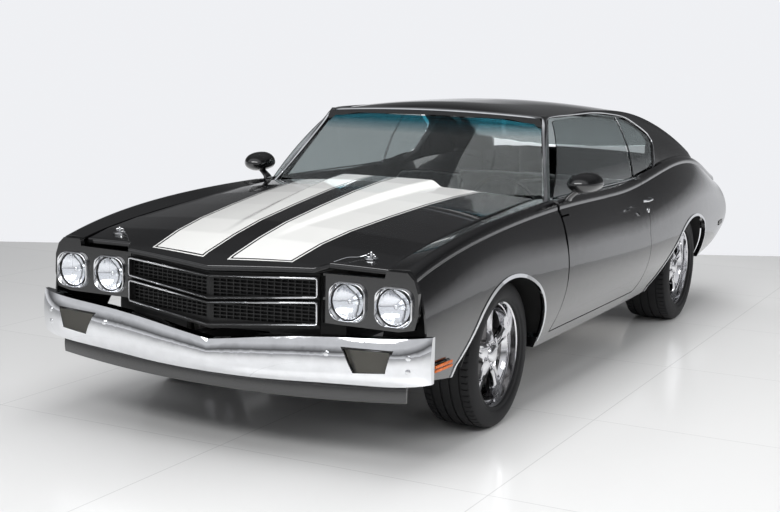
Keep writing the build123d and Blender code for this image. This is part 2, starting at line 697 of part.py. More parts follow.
FRONT_BUMPER_ROWS = (
    (0, -2486, 56, 332, 466, 19),
    (240, -2480, 56, 336, 500, 20),
    (430, -2462, 56, 344, 522, 22),
    (660, -2438, 56, 354, 538, 24),
    (860, -2408, 54, 366, 552, 22),
    (945, -2374, 20, 380, 562, 12),
)
PARKING_LAMP = ((604, 496), (804, 500), (782, 416), (650, 404))
with BuildPart() as front_bumper:
    add(cross_band(FRONT_BUMPER_ROWS))
    for side in (1, -1):
        with BuildSketch(Plane.XZ.offset(2440)):
            with BuildLine():
                Polyline(*((side * x, z) for x, z in PARKING_LAMP), close=True)
            make_face()
        extrude(amount=100, mode=Mode.SUBTRACT)
save(front_bumper.part, "front_bumper")

# Lamps in the bumper, and the amber and red markers on the flanks
MARKERS = ((-2290, -2140, 402, 432), (2150, 2280, 500, 530))
with BuildPart() as side_lamps:
    with BuildSketch(Plane.XZ.offset(2441)):
        with BuildLine():
            Polyline(*PARKING_LAMP, close=True)
        make_face()
        offset(amount=-2, kind=Kind.INTERSECTION)
    extrude(amount=9)
with BuildPart() as markers:
    add(body_loft(-5))
    with BuildPart(mode=Mode.PRIVATE) as marker_boxes:
        for y0, y1, z0, z1 in MARKERS:
            add(block((800, y0, z0), (1000, y1, z1)))
    add(marker_boxes.part, mode=Mode.INTERSECT)
    add(BODY, mode=Mode.SUBTRACT)
save(both_sides(side_lamps.part, markers.part), "marker_lamps")

VALANCE_ROWS = (
    (0, -2440, 5, 262, 326, 4),
    (430, -2420, 5, 268, 336, 4),
    (840, -2372, 5, 290, 358, 4),
)
save(cross_band(VALANCE_ROWS), "front_valance")

# Tail: a panel under the trunk lid, the bumper and its lamps
LID_LIP_Z = 740
with BuildPart() as tail:
    add(body_loft(QUARTER_T + 1, 60))
    add(block((-1000, 2384, 440), (1000, 2400, 1000)), mode=Mode.INTERSECT)
    add(block((-DECK_SEAM_X - GAP, 2300, LID_LIP_Z - GAP), (DECK_SEAM_X + GAP, 2500, 1000)), mode=Mode.SUBTRACT)
save(tail.part, "tail_panel")

REAR_BUMPER_ROWS = (
    (0, 2488, -58, 444, 628, -17),
    (430, 2484, -58, 444, 630, -18),
    (700, 2472, -48, 446, 634, -18),
    (840, 2452, -30, 450, 640, -16),
    (900, 2432, -10, 456, 644, -8),
)
TAIL_LAMP_X, TAIL_LAMP_Z = 640, 542
with BuildPart() as rear_bumper:
    add(cross_band(REAR_BUMPER_ROWS))
    with BuildSketch(Plane.XZ.offset(-2600)):
        with Locations((TAIL_LAMP_X, TAIL_LAMP_Z), (-TAIL_LAMP_X, TAIL_LAMP_Z)):
            RectangleRounded(210, 92, 16)
    extrude(amount=130, mode=Mode.SUBTRACT)
save(rear_bumper.part, "rear_bumper")
with BuildPart() as tail_lamp:
    with BuildSketch(Plane.XZ.offset(-2490)):
        with Locations((TAIL_LAMP_X, TAIL_LAMP_Z)):
            RectangleRounded(206, 88, 14)
    extrude(amount=20)
save(both_sides(tail_lamp.part), "tail_lamps")

# Chrome mouldings round the wheel openings
MOULDING = 16
MOULDING_FOOT_Z = 300
with BuildPart() as arches:
    for axle_y, points in ((FRONT_AXLE_Y, FRONT_ARCH), (REAR_AXLE_Y, REAR_ARCH)):
        with BuildPart(mode=Mode.PRIVATE) as band:
            add(body_loft(-4))
            add(arch_prism(axle_y, points, 800, 1060, MOULDING), mode=Mode.INTERSECT)
            add(arch_prism(axle_y, points), mode=Mode.SUBTRACT)
            add(block((700, axle_y - 740, 200), (1000, axle_y + 420, MOULDING_FOOT_Z + 20)), mode=Mode.SUBTRACT)
            add(BODY, mode=Mode.SUBTRACT)
        add(band.part)
save(both_sides(arches.part), "arch_mouldings")

# Wheelhouses: an arched shell over each wheel, the rear ones with an inner wall
with BuildPart() as houses:
    for axle_y, radius, inner_x in ((FRONT_AXLE_Y, 404, 500), (REAR_AXLE_Y, 390, 574)):
        with BuildSketch(Plane.YZ.offset(inner_x)):
            with Locations((axle_y, 330)):
                Circle(radius)
                Circle(radius - 5, mode=Mode.SUBTRACT)
            with Locations((axle_y, 100)):
                Rectangle(1000, 500, mode=Mode.SUBTRACT)
        extrude(amount=420)
    with BuildSketch(Plane.YZ.offset(569)):
        with Locations((REAR_AXLE_Y, 330)):
            Circle(390)
        with Locations((REAR_AXLE_Y, 100)):
            Rectangle(1000, 500, mode=Mode.SUBTRACT)
    extrude(amount=5)
    add(block((500, REAR_AXLE_Y - 80, 300), (720, REAR_AXLE_Y + 80, 410)), mode=Mode.SUBTRACT)
    add(body_loft(QUARTER_T + 2, 60), mode=Mode.INTERSECT)
save(both_sides(houses.part), "wheelhouses")


def about_axle(x, y, z):
    """The axis of a wheel."""
    return Axis((x, y, z), (1, 0, 0))


# Tyre and wheel sizes by axle: name, y, x of the middle, tyre radius, width
AXLES = (
    ("front", FRONT_AXLE_Y, FRONT_WHEEL_X, FRONT_TYRE_R, FRONT_TYRE_WIDTH),
    ("rear", REAR_AXLE_Y, REAR_WHEEL_X, REAR_TYRE_R, REAR_TYRE_WIDTH),
)
SEAT_R = 229
BARREL_R = 219
SPOKES = 5
HUB_R = 78
BORE_R = 31.5
LIP_IN = 9
FACE_DEPTH = 34
for name, axle_y, wheel_x, tyre_r, width in AXLES:
    half = width / 2
    bead = half - 16
    with BuildPart() as tyre:
        with BuildSketch(Plane.XY.offset(tyre_r)):
            with BuildLine():
                Polyline((wheel_x - bead, axle_y + SEAT_R), (wheel_x + bead, axle_y + SEAT_R),
                         (wheel_x + bead, axle_y + RIM_R + 4))
                ThreePointArc((wheel_x + bead, axle_y + RIM_R + 4), (wheel_x + half, axle_y + 276),
                              (wheel_x + half - 6, axle_y + tyre_r - 16))
                ThreePointArc((wheel_x + half - 6, axle_y + tyre_r - 16), (wheel_x + half - 12, axle_y + tyre_r - 6),
                              (wheel_x + half - 24, axle_y + tyre_r - 2))
                ThreePointArc((wheel_x + half - 24, axle_y + tyre_r - 2), (wheel_x, axle_y + tyre_r),
                              (wheel_x - half + 24, axle_y + tyre_r - 2))
                ThreePointArc((wheel_x - half + 24, axle_y + tyre_r - 2), (wheel_x - half + 12, axle_y + tyre_r - 6),
                              (wheel_x - half + 6, axle_y + tyre_r - 16))
                ThreePointArc((wheel_x - half + 6, axle_y + tyre_r - 16), (wheel_x - half, axle_y + 276),
                              (wheel_x - bead, axle_y + RIM_R + 4))
                Line((wheel_x - bead, axle_y + RIM_R + 4), (wheel_x - bead, axle_y + SEAT_R))
            make_face()
        revolve(axis=about_axle(wheel_x, axle_y, tyre_r))
    save_pair(tyre.part, f"tyre_{name}")

    # The wheel: a stepped barrel with lips, and five tapered spokes from its hub
    face_x = wheel_x + bead - FACE_DEPTH
    with BuildPart() as wheel:
        with BuildSketch(Plane.XY.offset(tyre_r)):
            with BuildLine():
                Polyline((wheel_x - bead - LIP_IN, axle_y + RIM_R - 2), (wheel_x - bead - 1, axle_y + RIM_R - 2),
                         (wheel_x - bead - 1, axle_y + SEAT_R - 1), (wheel_x + bead + 1, axle_y + SEAT_R - 1),
                         (wheel_x + bead + 1, axle_y + RIM_R), (wheel_x + bead + LIP_IN, axle_y + RIM_R),
                         (wheel_x + bead + LIP_IN - 2, axle_y + RIM_R - 8), (wheel_x + bead + 3, axle_y + BARREL_R + 3),
                         (face_x + 4, axle_y + BARREL_R - 4), (face_x - 40, axle_y + BARREL_R),
                         (wheel_x - bead - LIP_IN, axle_y + BARREL_R), close=True)
            make_face()
        revolve(axis=about_axle(wheel_x, axle_y, tyre_r))
        with BuildSketch(Plane.YZ.offset(face_x - 30)):
            with Locations((axle_y, tyre_r)):
                Circle(HUB_R)
                with PolarLocations(0, SPOKES, 90):
                    Polygon((60, -34), (BARREL_R + 3, -25), (BARREL_R + 3, 25), (60, 34), align=None)
        extrude(amount=30)
        with BuildSketch(Plane.YZ.offset(face_x - 62)):
            with Locations((axle_y, tyre_r)):
                Circle(66)
        extrude(amount=34)
        with BuildSketch(Plane.YZ.offset(face_x - 8)):
            with Locations((axle_y, tyre_r)):
                Circle(34)
        extrude(amount=22, taper=12)
        with BuildSketch(Plane.YZ.offset(face_x - 70)):
            with Locations((axle_y, tyre_r)):
                Circle(BORE_R)
        extrude(amount=40, mode=Mode.SUBTRACT)
    save_pair(wheel.part, f"wheel_{name}")

# Front knuckle: upright on its two ball pins, hub nose, brake disc and caliper
FRONT_FACE_X = FRONT_WHEEL_X + FRONT_TYRE_WIDTH / 2 - 16 - FACE_DEPTH
PIN_LOW_Z, PIN_HIGH_Z = 218, 444
DISC_R = 165
# Radius and angle round the axle of the caliper's corners
CALIPER = ((120, 20), (200, 20), (206, 0), (200, -20), (120, -20))
with BuildPart() as knuckle:
    with BuildSketch(Plane.YZ.offset(KINGPIN_X - 16)):
        with BuildLine():
            Polyline((FRONT_AXLE_Y - 26, PIN_LOW_Z + 12), (FRONT_AXLE_Y - 52, FRONT_TYRE_R),
                     (FRONT_AXLE_Y - 20, PIN_HIGH_Z - 12), (FRONT_AXLE_Y + 20, PIN_HIGH_Z - 12),
                     (FRONT_AXLE_Y + 52, FRONT_TYRE_R), (FRONT_AXLE_Y + 26, PIN_LOW_Z + 12), close=True)
        make_face()
    extrude(amount=32)
    with Locations((KINGPIN_X, FRONT_AXLE_Y, (PIN_LOW_Z + PIN_HIGH_Z) / 2)):
        Cylinder(10, PIN_HIGH_Z - PIN_LOW_Z + 24)
    with BuildSketch(Plane.YZ.offset(KINGPIN_X)):
        with Locations((FRONT_AXLE_Y, FRONT_TYRE_R)):
            Circle(31.2)
    extrude(amount=FRONT_FACE_X - 34 - KINGPIN_X)
    with BuildSketch(Plane.YZ.offset(734)):
        with Locations((FRONT_AXLE_Y, FRONT_TYRE_R)):
            Circle(DISC_R)
    extrude(amount=FRONT_FACE_X - 64 - 734)
    with BuildSketch(Plane.YZ.offset(722)):
        with Locations((FRONT_AXLE_Y, FRONT_TYRE_R)):
            Polygon(*((r * cos(radians(a)), r * sin(radians(a))) for r, a in CALIPER), align=None)
    extrude(amount=FRONT_FACE_X - 50 - 722)
    with Locations((KINGPIN_X - 4, FRONT_AXLE_Y + 70, 260)):
        Box(24, 120, 22)
save_pair(knuckle.part, "knuckle")

# Front suspension: two wishbones and a coil spring a side
with BuildPart() as wishbones:
    for z, frame_x, spread, thick in ((208, 430, 150, 22), (454, 500, 110, 16)):
        with BuildSketch(Plane.XY.offset(z - thick / 2)):
            with BuildLine():
                Polyline((frame_x, FRONT_AXLE_Y - spread), (KINGPIN_X + 18, FRONT_AXLE_Y - 12),
                         (KINGPIN_X + 18, FRONT_AXLE_Y + 12), (frame_x, FRONT_AXLE_Y + spread),
                         (frame_x, FRONT_AXLE_Y + spread - 44), (KINGPIN_X - 60, FRONT_AXLE_Y + 6),
                         (KINGPIN_X - 60, FRONT_AXLE_Y - 6), (frame_x, FRONT_AXLE_Y - spread + 44), close=True)
            make_face()
            with Locations((KINGPIN_X, FRONT_AXLE_Y)):
                Circle(10.4, mode=Mode.SUBTRACT)
        extrude(amount=thick)
save(both_sides(wishbones.part), "front_suspension")

# Rear axle: tubes, differential, discs and hub noses
REAR_FACE_X = REAR_WHEEL_X + REAR_TYRE_WIDTH / 2 - 16 - FACE_DEPTH
with BuildPart() as rear_axle:
    with Locations((0, REAR_AXLE_Y, REAR_TYRE_R)):
        Cylinder(38, 1380, rotation=(0, 90, 0))
        Cylinder(125, 150, rotation=(0, 90, 0))
        Cylinder(31.2, 2 * (REAR_FACE_X - 34), rotation=(0, 90, 0))
    with Locations((0, REAR_AXLE_Y - 130, REAR_TYRE_R)):
        Cylinder(46, 160, rotation=(90, 0, 0))
    for side in (1, -1):
        disc_x = REAR_FACE_X - 62 - 2 - 12
        with Locations((side * disc_x, REAR_AXLE_Y, REAR_TYRE_R)):
            Cylinder(DISC_R - 6, 22, rotation=(0, 90, 0))
        with Locations((side * 430, REAR_AXLE_Y - 40, 256)):
            Box(60, 60, 120)
        with Locations((side * 430, REAR_AXLE_Y - 350, 232)):
            Box(44, 560, 40)
        with Locations((side * 476, REAR_AXLE_Y, 372)):
            Cylinder(50, 60)
save(rear_axle.part, "rear_axle")

# Frame: two box rails that step in over each axle, and the cross members between them
RAIL_PATH = ((392, -2300, 330), (392, -1300, 300), (392, -1180, 240), (640, -960, 238), (640, 560, 238),
             (500, 820, 300), (470, 1120, 452), (470, 1500, 452), (470, 1700, 400), (470, 2370, 400))
with BuildPart() as rails:
    for x, y, z in RAIL_PATH:
        with BuildSketch(Plane.XZ.offset(-y)):
            with Locations((x, z)):
                Rectangle(72, 84)
    loft(ruled=True)
CROSS_MEMBERS = ((-2260, 330, 392), (-1535, 262, 392), (-560, 238, 640), (250, 238, 640), (1120, 452, 470),
                 (2330, 400, 470))
with BuildPart() as frame:
    add(rails.part)
    add(mirror(rails.part, about=Plane.YZ))
    for y, z, rail_x in CROSS_MEMBERS:
        with Locations((0, y, z)):
            Box(2 * rail_x, 90, 56)
    # Towers and feet that the front wishbones turn on
    for side in (1, -1):
        add(block((side * 400, FRONT_AXLE_Y - 110, 330), (side * 500, FRONT_AXLE_Y + 110, 466)))
        add(block((side * 392, FRONT_AXLE_Y - 150, 197), (side * 430, FRONT_AXLE_Y + 150, 280)))
save(frame.part, "frame")

# Floor: one pressed sheet from the firewall to the tail, with the tunnel over the gearbox
FLOOR_T = 6
FLOOR_SIDE = ((-1010, 866), (-1010, 420), (-900, 296), (560, 296), (640, 420), (960, 430), (1020, 530),
              (1700, 530), (1760, 462), (2370, 462))
TUNNEL = (150, 120)
with BuildPart() as floor:
    with BuildSketch(Plane.YZ.offset(-735)):
        with BuildLine() as floor_line:
            Polyline(*FLOOR_SIDE)
        trace(floor_line.line, line_width=FLOOR_T)
    extrude(amount=1470)
    tunnel_half, tunnel_height = TUNNEL
    add(block((-tunnel_half, -985, 280), (tunnel_half, 600, 300 + tunnel_height)), mode=Mode.SUBTRACT)
    with BuildSketch(Plane.XZ.offset(1000)):
        with BuildLine() as tunnel_line:
            Polyline((-tunnel_half - 8, 297), (-tunnel_half + 30, 300 + tunnel_height - 20),
                     (tunnel_half - 30, 300 + tunnel_height - 20), (tunnel_half + 8, 297))
        trace(tunnel_line.line, line_width=FLOOR_T)
    extrude(amount=-1590)
    for side in (1, -1):
        with BuildSketch(Plane.YZ.offset(side * 560)):
            with Locations((REAR_AXLE_Y, 330)):
                Circle(396)
        extrude(amount=side * 400, mode=Mode.SUBTRACT)
    add(DOOR_SWEEP, mode=Mode.SUBTRACT)
    add(mirror(DOOR_SWEEP, about=Plane.YZ), mode=Mode.SUBTRACT)
    add(block((-1000, 2384, 200), (1000, 2500, 600)), mode=Mode.SUBTRACT)
save(floor.part, "floor_pan")

# Engine, exhaust and fuel tank
with BuildPart() as engine:
    with Locations((0, -1400, 520)):
        Box(420, 640, 460)
    chamfer(engine.edges().filter_by(Axis.Y), 60)
    with Locations((0, -760, 330)):
        Cylinder(52, 760, rotation=(90, 0, 0))
save(engine.part, "engine_block")

with BuildPart() as exhaust:
    for side in (1, -1):
        with Locations((side * 300, -300, 176)):
            Cylinder(29, 1300, rotation=(90, 0, 0))
        with Locations((side * 300, 560, 204)):
            Box(200, 500, 110)
save(exhaust.part, "exhaust")

with BuildPart() as tank:
    with Locations((0, 2000, 372)):
        Box(760, 540, 160)
    fillet(tank.edges(), 30)
save(tank.part, "fuel_tank")

# Dashboard with the steering column, and the steering wheel on it
WHEEL_CENTRE = Vector(372, -330, 812)
COLUMN = Vector(0, cos(radians(25)), sin(radians(25)))
DASH_HALF = 656
DASH_SIDE = ((-900, 840), (-900, 700), (-640, 640), (-560, 690), (-540, 800), (-600, 866))
with BuildPart() as dash:
    with BuildSketch(Plane.YZ.offset(-DASH_HALF)):
        with BuildLine():
            Polyline(*DASH_SIDE, close=True)
        make_face()
    extrude(amount=2 * DASH_HALF)
    with BuildSketch(Plane(origin=WHEEL_CENTRE - COLUMN * 42, z_dir=-COLUMN)):
        Circle(24)
    extrude(amount=300)
save(dash.part, "dashboard")

RIM_WHEEL_R = 182
with BuildPart() as steering:
    with BuildSketch(Plane(origin=WHEEL_CENTRE, x_dir=(1, 0, 0), z_dir=COLUMN)):
        Circle(RIM_WHEEL_R + 9)
        Circle(RIM_WHEEL_R - 9, mode=Mode.SUBTRACT)
        with PolarLocations(0, 3, 90):
            Polygon((20, -16), (RIM_WHEEL_R, -12), (RIM_WHEEL_R, 12), (20, 16), align=None)
        Circle(40)
    extrude(amount=8, both=True)
    with BuildSketch(Plane(origin=WHEEL_CENTRE - COLUMN * 36, z_dir=COLUMN)):
        Circle(24)
    extrude(amount=40)
save(steering.part, "steering_wheel")


FRONT_SEAT = ((-230, 300), (-240, 470), (-190, 500), (140, 470), (290, 880), (320, 900), (380, 880), (280, 400),
              (260, 300))
REAR_SEAT = ((680, 430), (668, 500), (720, 530), (930, 500), (1080, 840), (1110, 860), (1170, 840), (1130, 536),
             (1010, 536), (950, 436))


def seat(profile, x, width):
    """One padded seat, cushion and leaning back, from its side view (y, z)."""
    with BuildPart() as pad:
        with BuildSketch(Plane.YZ.offset(x - width / 2)):
            with BuildLine():
                Polyline(*profile, close=True)
            make_face()
        extrude(amount=width)
        fillet(pad.edges().filter_by(Axis.X), 12)
    return pad.part


save(both_sides(seat(FRONT_SEAT, 385, 440)), "front_seats")
save(seat(REAR_SEAT, 0, 1120), "rear_seat")

# Door fittings: mirror, handle and its lock
HANDLE_Y, HANDLE_Z = 260, 836
with BuildPart() as fittings:
    with BuildSketch(Plane.XZ.offset(700)):
        with Locations((872, 950)):
            Rectangle(36, 34)
    extrude(amount=-70)
    with BuildSketch(Plane.XZ.offset(722)):
        with Locations((936, 1006)):
            RectangleRounded(150, 96, 40)
    extrude(amount=-90, taper=12)
with BuildPart() as handle:
    with Locations((936, HANDLE_Y, HANDLE_Z)):
        Box(30, 150, 24)
    fillet(handle.edges(), 8)
    add(BODY, mode=Mode.SUBTRACT)
    add(fittings.part)
save_pair(handle.part, "door_fittings")
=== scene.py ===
"""The muscle car's looks: painted panels, chrome, glass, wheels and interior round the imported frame.

Tables are in millimetres, in the frame's axes: +X is the car's left, the nose points to -Y, +Z is up.
"""
import json
from math import cos, hypot, pi, radians, sin

import bmesh
import bpy
import numpy as np
from mathutils import Euler, Matrix, Vector


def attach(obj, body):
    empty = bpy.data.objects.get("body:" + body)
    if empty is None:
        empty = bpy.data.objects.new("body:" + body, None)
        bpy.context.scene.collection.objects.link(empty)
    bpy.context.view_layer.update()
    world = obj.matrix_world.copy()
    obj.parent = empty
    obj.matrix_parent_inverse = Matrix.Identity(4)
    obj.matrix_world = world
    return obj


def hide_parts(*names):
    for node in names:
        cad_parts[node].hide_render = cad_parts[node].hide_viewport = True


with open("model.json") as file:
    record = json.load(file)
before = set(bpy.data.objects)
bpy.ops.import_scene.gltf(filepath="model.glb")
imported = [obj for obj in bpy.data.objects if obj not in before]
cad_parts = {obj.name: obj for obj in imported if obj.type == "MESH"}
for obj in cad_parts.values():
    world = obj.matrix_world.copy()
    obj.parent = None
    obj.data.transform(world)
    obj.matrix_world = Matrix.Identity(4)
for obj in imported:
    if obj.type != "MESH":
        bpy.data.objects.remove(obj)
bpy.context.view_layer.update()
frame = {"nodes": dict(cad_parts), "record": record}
MM = 0.001

# Camera, solved from the photograph
CAMERA_AT = (3.0388, -6.8059, 1.6266)
CAMERA_YAW, CAMERA_PITCH, CAMERA_ROLL = -27.996, -9.290, 1.0895
CAMERA_LENS, CAMERA_SENSOR = 61.64, 36
CAMERA_SHIFT = (0.0225, 0.0144)


def add_camera():
    """The photograph's viewpoint."""
    yaw, pitch, roll = (radians(a) for a in (CAMERA_YAW, CAMERA_PITCH, CAMERA_ROLL))
    forward = Vector((sin(yaw) * cos(pitch), cos(yaw) * cos(pitch), sin(pitch)))
    right = Vector((cos(yaw), -sin(yaw), 0))
    up = right.cross(forward)
    tilted_right = right * cos(roll) + up * sin(roll)
    tilted_up = -right * sin(roll) + up * cos(roll)
    data = bpy.data.cameras.new("camera")
    data.lens, data.sensor_width = CAMERA_LENS, CAMERA_SENSOR
    data.shift_x, data.shift_y = CAMERA_SHIFT
    camera = bpy.data.objects.new("camera", data)
    turn = Matrix((tilted_right, tilted_up, -forward)).transposed().to_4x4()
    camera.matrix_world = Matrix.Translation(CAMERA_AT) @ turn
    bpy.context.collection.objects.link(camera)
    bpy.context.scene.camera = camera


add_camera()


# Materials
class Nodes:
    """A small helper that builds one node material."""

    def __init__(self, name):
        self.material = bpy.data.materials.new(name)
        self.material.use_nodes = True
        self.tree = self.material.node_tree
        self.shader = self.tree.nodes["Principled BSDF"]

    def set(self, **values):
        for key, value in values.items():
            self.shader.inputs[key.replace("_", " ")].default_value = value
        return self

    def node(self, kind, inputs=None, **settings):
        made = self.tree.nodes.new(kind)
        for key, value in settings.items():
            setattr(made, key, value)
        for key, value in (inputs or {}).items():
            socket = made.inputs[key]
            if isinstance(value, bpy.types.NodeSocket):
                self.tree.links.new(value, socket)
            else:
                socket.default_value = value
        return made

    def link(self, socket, key):
        self.tree.links.new(socket, self.shader.inputs[key])
        return self

    def math(self, operation, a, b=0.0, clamp=False):
        return self.node("ShaderNodeMath", {0: a, 1: b}, operation=operation, use_clamp=clamp).outputs[0]

    def mix(self, share, a, b):
        made = self.node("ShaderNodeMix", {"Factor": share}, data_type="RGBA")
        for key, value in ((6, a), (7, b)):
            if isinstance(value, bpy.types.NodeSocket):
                self.tree.links.new(value, made.inputs[key])
            else:
                made.inputs[key].default_value = (*value, 1)
        return made.outputs[2]

    def place(self):
        return self.node("ShaderNodeTexCoord").outputs["Object"]

    def axes(self):
        """X, Y and Z of the surface in metres."""
        return self.node("ShaderNodeSeparateXYZ", {0: self.place()}).outputs

    def noise(self, scale, detail):
        inputs = {"Scale": scale, "Detail": detail, "Roughness": 0.55, "Vector": self.place()}
        return self.node("ShaderNodeTexNoise", inputs).outputs["Fac"]

    def ramp(self, value, low, high, color_low, color_high):
        ramp = self.node("ShaderNodeValToRGB", {"Fac": value})
        first, last = ramp.color_ramp.elements
        first.position, last.position = low, high
        first.color, last.color = (*color_low, 1), (*color_high, 1)
        return ramp.outputs["Color"]

    def spread(self, value, low, high):
        inputs = {"Value": value, "To Min": low, "To Max": high}
        return self.node("ShaderNodeMapRange", inputs).outputs["Result"]

    def step(self, value, edge, soft=0.0008):
        """0 below edge, 1 above it."""
        inputs = {"Value": value, "From Min": edge - soft, "From Max": edge + soft}
        return self.node("ShaderNodeMapRange", inputs).outputs["Result"]

    def bump(self, height, strength, distance=0.001):
        made = self.node("ShaderNodeBump", {"Height": height, "Strength": strength, "Distance": distance})
        return self.link(made.outputs["Normal"], "Normal")


def shades(color, low, high):
    """A darker and a lighter shade of one colour."""
    return tuple(c * low for c in color), tuple(min(1, c * high) for c in color)


def paint(name, color):
    """Gloss paint under clear coat, its colour a little uneven."""
    m = Nodes(name).set(Roughness=0.22, Coat_Weight=1.0, Coat_Roughness=0.015, Coat_IOR=1.75,
                        Specular_IOR_Level=0.3)
    m.link(m.ramp(m.noise(6, 5), 0.3, 0.75, *shades(color, 0.8, 1)), "Base Color")
    return m


def peeled(m):
    """The finished paint, with a faint orange peel."""
    return m.bump(m.noise(260, 2), 0.01).material


def metal(name, color, rough_low, rough_high, scale, bump):
    """Plated, polished or cast metal with uneven roughness."""
    m = Nodes(name).set(Metallic=1.0)
    cloud = m.noise(scale, 5)
    m.link(m.ramp(cloud, 0.25, 0.8, *shades(color, 0.86, 1)), "Base Color")
    m.link(m.spread(cloud, rough_low, rough_high), "Roughness")
    return m.bump(m.noise(scale * 8, 3), bump).material


def satin(name, color, rough, scale, bump, specular=0.4):
    """Satin paint, moulded plastic or rubber: uneven colour and roughness and a fine grain."""
    m = Nodes(name).set(Specular_IOR_Level=specular)
    cloud = m.noise(scale / 6, 5)
    m.link(m.ramp(cloud, 0.3, 0.75, *shades(color, 0.7, 1.25)), "Base Color")
    m.link(m.spread(cloud, rough - 0.08, rough + 0.12), "Roughness")
    return m.bump(m.noise(scale * 8, 4), bump).material


def leather(name, color):
    """Grained vinyl: small cells and a soft sheen."""
    m = Nodes(name).set(Specular_IOR_Level=0.35, Sheen_Weight=0.15)
    cells = m.node("ShaderNodeTexVoronoi", {"Scale": 420.0, "Vector": m.place()}).outputs["Distance"]
    cloud = m.noise(9, 4)
    m.link(m.ramp(cloud, 0.3, 0.7, *shades(color, 0.75, 1.3)), "Base Color")
    m.link(m.spread(cloud, 0.42, 0.6), "Roughness")
    return m.bump(cells, 0.25, 0.0008).material


def clear(name, color, rough=0.0):
    """Clear or tinted glass that lets the light straight through thin panes."""
    m = Nodes(name).set(Roughness=rough, Transmission_Weight=1.0, IOR=1.45, Coat_Weight=0.0)
    m.link(m.ramp(m.noise(3, 2), 0.2, 0.8, *shades(color, 0.97, 1.0)), "Base Color")
    return m


BLACK = (0.003, 0.003, 0.0034)
WHITE = (0.86, 0.86, 0.84)
# Stripes on the hood, in metres: half the gap between them, their outer half width at the nose and how it
# grows, their front end at the gap and how it sweeps back, the black line and the white pinstripe round each
GAP_HALF, OUTER_AT_NOSE, OUTER_GROWTH = 0.058, 0.335, 0.105
STRIPE_NOSE_Y, NOSE_SWEEP = -2.442, 0.13
KEYLINE, PINSTRIPE = 0.009, 0.007
# Windshield: its tint, and the shade band's tint, foot and full height in metres
SHIELD_TINT, BAND_TINT, BAND_FOOT, BAND_FULL = (0.7, 0.74, 0.74), (0.03, 0.25, 0.33), 1.2, 1.262


def striped_paint():
    """Black paint with two white stripes, each with a black line and a pinstripe round it."""
    m = paint("striped_paint", BLACK)
    x, y, _ = m.axes()
    off = m.math("ABSOLUTE", x)
    growth = m.math("MULTIPLY", m.math("SUBTRACT", y, STRIPE_NOSE_Y), OUTER_GROWTH)
    outer = m.math("ADD", growth, OUTER_AT_NOSE)
    swept_back = m.math("SUBTRACT", y, m.math("MULTIPLY", off, NOSE_SWEEP))
    ahead = m.math("SUBTRACT", swept_back, STRIPE_NOSE_Y)
    depth = m.math("MINIMUM", m.math("SUBTRACT", off, GAP_HALF), m.math("SUBTRACT", outer, off))
    depth = m.math("MINIMUM", depth, ahead)
    stripe = m.step(depth, KEYLINE + PINSTRIPE)
    line = m.math("SUBTRACT", m.step(depth, 0.0), m.step(depth, PINSTRIPE))
    share = m.math("ADD", stripe, line, clamp=True)
    black = m.ramp(m.noise(6, 5), 0.3, 0.75, *shades(BLACK, 0.8, 1))
    white = m.ramp(m.noise(5, 4), 0.2, 0.8, *shades(WHITE, 0.97, 1))
    m.link(m.mix(share, black, white), "Base Color")
    return peeled(m)


def windshield_glass():
    """Clear glass with a blue shade band along its top."""
    m = clear("windshield_glass", SHIELD_TINT)
    inputs = {"Value": m.axes()[2], "From Min": BAND_FOOT, "From Max": BAND_FULL}
    band = m.node("ShaderNodeMapRange", inputs).outputs["Result"]
    m.link(m.mix(band, SHIELD_TINT, BAND_TINT), "Base Color")
    return m.material


PAINT = peeled(paint("black_paint", BLACK))
STRIPED = striped_paint()
CHROME = metal("chrome", (0.86, 0.87, 0.89), 0.03, 0.07, 14, 0.004)
ALLOY = metal("polished_alloy", (0.86, 0.86, 0.88), 0.05, 0.13, 22, 0.006)
IRON = metal("brake_iron", (0.42, 0.41, 0.4), 0.28, 0.5, 60, 0.1)
STEEL = metal("exhaust_steel", (0.5, 0.47, 0.43), 0.3, 0.55, 18, 0.1)
CHASSIS = satin("chassis_black", (0.012, 0.012, 0.012), 0.45, 50, 0.12)
TRIM = satin("black_trim", (0.008, 0.008, 0.008), 0.42, 60, 0.08)
# Near black for the plate behind the grille: painted shade inside the nose, together with the radiator's own
# dark paint.
MESH = satin("grille_painted_shade", (0.004, 0.004, 0.004), 0.5, 60, 0.08, 0.25)
RUBBER = satin("tyre_rubber", (0.013, 0.013, 0.014), 0.62, 40, 0.15, 0.35)
DASH = satin("dash_plastic", (0.014, 0.014, 0.015), 0.55, 60, 0.2)
VINYL = leather("black_vinyl", (0.012, 0.012, 0.013))
ENGINE = satin("engine_paint", (0.02, 0.02, 0.02), 0.45, 30, 0.2)
GAUGE = satin("gauge_face", (0.35, 0.36, 0.35), 0.4, 80, 0.02)
GLASS = clear("side_glass", (0.42, 0.46, 0.46)).material
SHIELD = windshield_glass()
BOWL = metal("reflector", (0.93, 0.94, 0.95), 0.06, 0.12, 14, 0.004)
LENS = clear("lamp_glass", (0.97, 0.98, 1.0), 0.02).material
AMBER = satin("amber_lens", (0.62, 0.13, 0.012), 0.22, 60, 0.04)
CLOUDY = clear("parking_lens", (0.34, 0.33, 0.3), 0.3).material
RED = satin("red_lens", (0.36, 0.01, 0.008), 0.2, 60, 0.04)

LOOKS = {
    "body_paint": PAINT, "chrome": CHROME, "glass": GLASS, "lamp_glass": LENS, "lamp_lens": CLOUDY,
    "red_lens": RED, "black_trim": TRIM, "tyre_rubber": RUBBER, "wheel_alloy": ALLOY, "brake_iron": IRON,
    "chassis_black": CHASSIS, "engine_iron": ENGINE, "exhaust_steel": STEEL, "interior_vinyl": VINYL,
    "dash_plastic": DASH,
}
SLOTS = {row["node"]: row["material_slot"] for row in frame["record"]["subparts"]}


